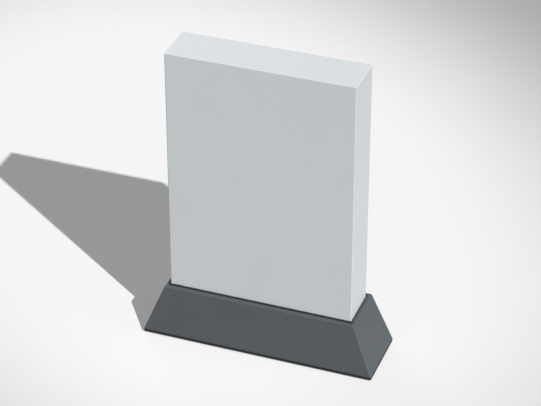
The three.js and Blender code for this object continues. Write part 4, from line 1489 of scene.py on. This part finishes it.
class STAND_OT_stage(bpy.types.Operator):
    """Makes the pale floor, the backdrop, the soft studio light and the camera"""

    bl_idname = "stand.stage"
    bl_label = "Stage"

    def execute(self, context):
        _, colours, stage = settings()
        scene = context.scene
        scene.view_settings.view_transform = "Standard"
        self.floor(colours, stage)
        self.backdrop(scene, stage)
        self.lamp("key", stage.key_way, stage.key, stage.key_softness)
        self.lamp("fill", stage.fill_way, stage.fill, stage.fill_softness)
        self.lamp("front", stage.front_way, stage.front, stage.fill_softness)
        self.camera(scene, stage)
        return {"FINISHED"}

    def floor(self, colours, stage):
        """A flat square, pale where it is seen and darker where it only throws light back. The seen
        colour holds a painted pool of light that dims outwards.
        """
        half = stage.floor_size
        points = np.array([[-half, -half, 0], [half, -half, 0], [half, half, 0], [-half, half, 0]])
        mesh = bpy.data.meshes.new("floor")
        mesh.from_pydata(points, [], [(0, 1, 2, 3)])
        floor = bpy.data.objects.new("floor", mesh)
        bpy.context.scene.collection.objects.link(floor)
        material = bpy.data.materials.new("studio floor")
        material.use_nodes = True
        tree = material.node_tree
        tree.nodes.clear()
        seen = self.seen(tree)
        # Painted light: the pool, an oval in which the seen floor is brighter and which dims
        # outwards.
        oval = {
            "Vector": put(tree, "TexCoord").outputs["Object"],
            "Location": stage.painted_pool_centre,
            "Rotation": (0, 0, stage.painted_pool_turn),
            "Scale": (1, stage.painted_pool_stretch, 1),
        }
        place = put(tree, "Mapping", oval, vector_type="TEXTURE").outputs[0]
        away = put(tree, "VectorMath", {0: place}, operation="LENGTH").outputs["Value"]
        ends = {
            "Value": away,
            "From Min": stage.painted_pool_start,
            "From Max": stage.painted_pool_end,
            "To Max": stage.fade,
        }
        faded = put(tree, "MapRange", ends, interpolation_type="SMOOTHSTEP").outputs[0]
        pale = blend_colours(tree, faded, tone(colours.floor, stage.floor_tone), (0, 0, 0))
        lit = put(tree, "BsdfDiffuse", {"Color": pale})
        glow = put(tree, "Emission", {"Color": pale, "Strength": stage.floor_glow})
        shown = put(tree, "AddShader", {0: lit.outputs[0], 1: glow.outputs[0]})
        back = (*tone(colours.floor, stage.floor_return), 1)
        dull = put(tree, "BsdfDiffuse", {"Color": back})
        mix = put(tree, "MixShader", {0: seen, 1: dull.outputs[0], 2: shown.outputs[0]})
        put(tree, "OutputMaterial", {"Surface": mix.outputs[0]})
        mesh.materials.append(material)

    def seen(self, tree):
        """1 for what the view sees, directly or in metal or glass, and 0 for light thrown back."""
        path = put(tree, "LightPath").outputs
        kinds = ("Camera", "Glossy", "Transmission")
        return largest(tree, [path[f"Is {kind} Ray"] for kind in kinds])

    def backdrop(self, scene, stage):
        """A world that lights evenly and looks pale past the floor."""
        world = bpy.data.worlds.new("studio")
        scene.world = world
        world.use_nodes = True
        tree = world.node_tree
        tree.nodes.clear()
        strength = spread(tree, self.seen(tree), stage.ambient, stage.backdrop, 0, 1)
        light = put(tree, "Background", {"Color": (1, 1, 1, 1), "Strength": strength})
        put(tree, "OutputWorld", {"Surface": light.outputs[0]})

    def lamp(self, name, way, strength, softness):
        """A distant soft lamp that shines from the given direction."""
        light = bpy.data.lights.new(name, "SUN")
        light.energy = strength
        light.angle = softness
        lamp = bpy.data.objects.new(name, light)
        lamp.rotation_mode = "QUATERNION"
        lamp.rotation_quaternion = Vector(way).to_track_quat("Z", "Y")
        bpy.context.scene.collection.objects.link(lamp)

    def camera(self, scene, stage):
        """A long lens at the given turn and height angle, aimed at the middle of the view."""
        data = bpy.data.cameras.new("camera")
        data.lens = stage.lens
        data.clip_start, data.clip_end = VIEW_REACH
        across, up = stage.azimuth, stage.elevation
        flat = math.cos(up)
        back = Vector((math.sin(across) * flat, -math.cos(across) * flat, math.sin(up)))
        camera = bpy.data.objects.new("camera", data)
        camera.location = Vector(stage.aim) + back * stage.distance
        camera.rotation_mode = "QUATERNION"
        camera.rotation_quaternion = (-back).to_track_quat("-Z", "Y")
        scene.collection.objects.link(camera)
        scene.camera = camera


# Registration

class STAND_PT_panel(bpy.types.Panel):
    """Lists the stand's settings and the steps that make it"""

    bl_label = "Cassette Display Stand"
    bl_space_type = "VIEW_3D"
    bl_region_type = "UI"
    bl_category = "Stand"

    def draw(self, context):
        for step in STEPS:
            self.layout.operator(step.bl_idname)
        for group in settings():
            box = self.layout.box()
            for name in group.__annotations__:
                box.prop(group, name)


STEPS = (
    STAND_OT_stage,
    STAND_OT_base_body,
    STAND_OT_base_plate,
    STAND_OT_screws,
    STAND_OT_feet,
    STAND_OT_linings,
    STAND_OT_weight,
    STAND_OT_case_lid,
    STAND_OT_case_tray,
    STAND_OT_cassette,
    STAND_OT_reels,
    STAND_OT_pad,
)
GROUPS = {"stand_sizes": StandSizes, "stand_colours": StandColours, "stand_stage": StandStage}


def register():
    """Adds the classes and the groups of settings."""
    for kind in (*GROUPS.values(), *STEPS, STAND_PT_panel):
        bpy.utils.register_class(kind)
    for name, group in GROUPS.items():
        setattr(bpy.types.Scene, name, PointerProperty(type=group))


def unregister():
    """Removes the groups of settings and the classes."""
    for name in GROUPS:
        delattr(bpy.types.Scene, name)
    for kind in (STAND_PT_panel, *STEPS[::-1], *GROUPS.values()):
        bpy.utils.unregister_class(kind)


def main():
    """Makes the stand step by step."""
    register()
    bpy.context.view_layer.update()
    for step in STEPS:
        group, name = step.bl_idname.split(".")
        getattr(getattr(bpy.ops, group), name)()


if __name__ == "__main__":
    main()
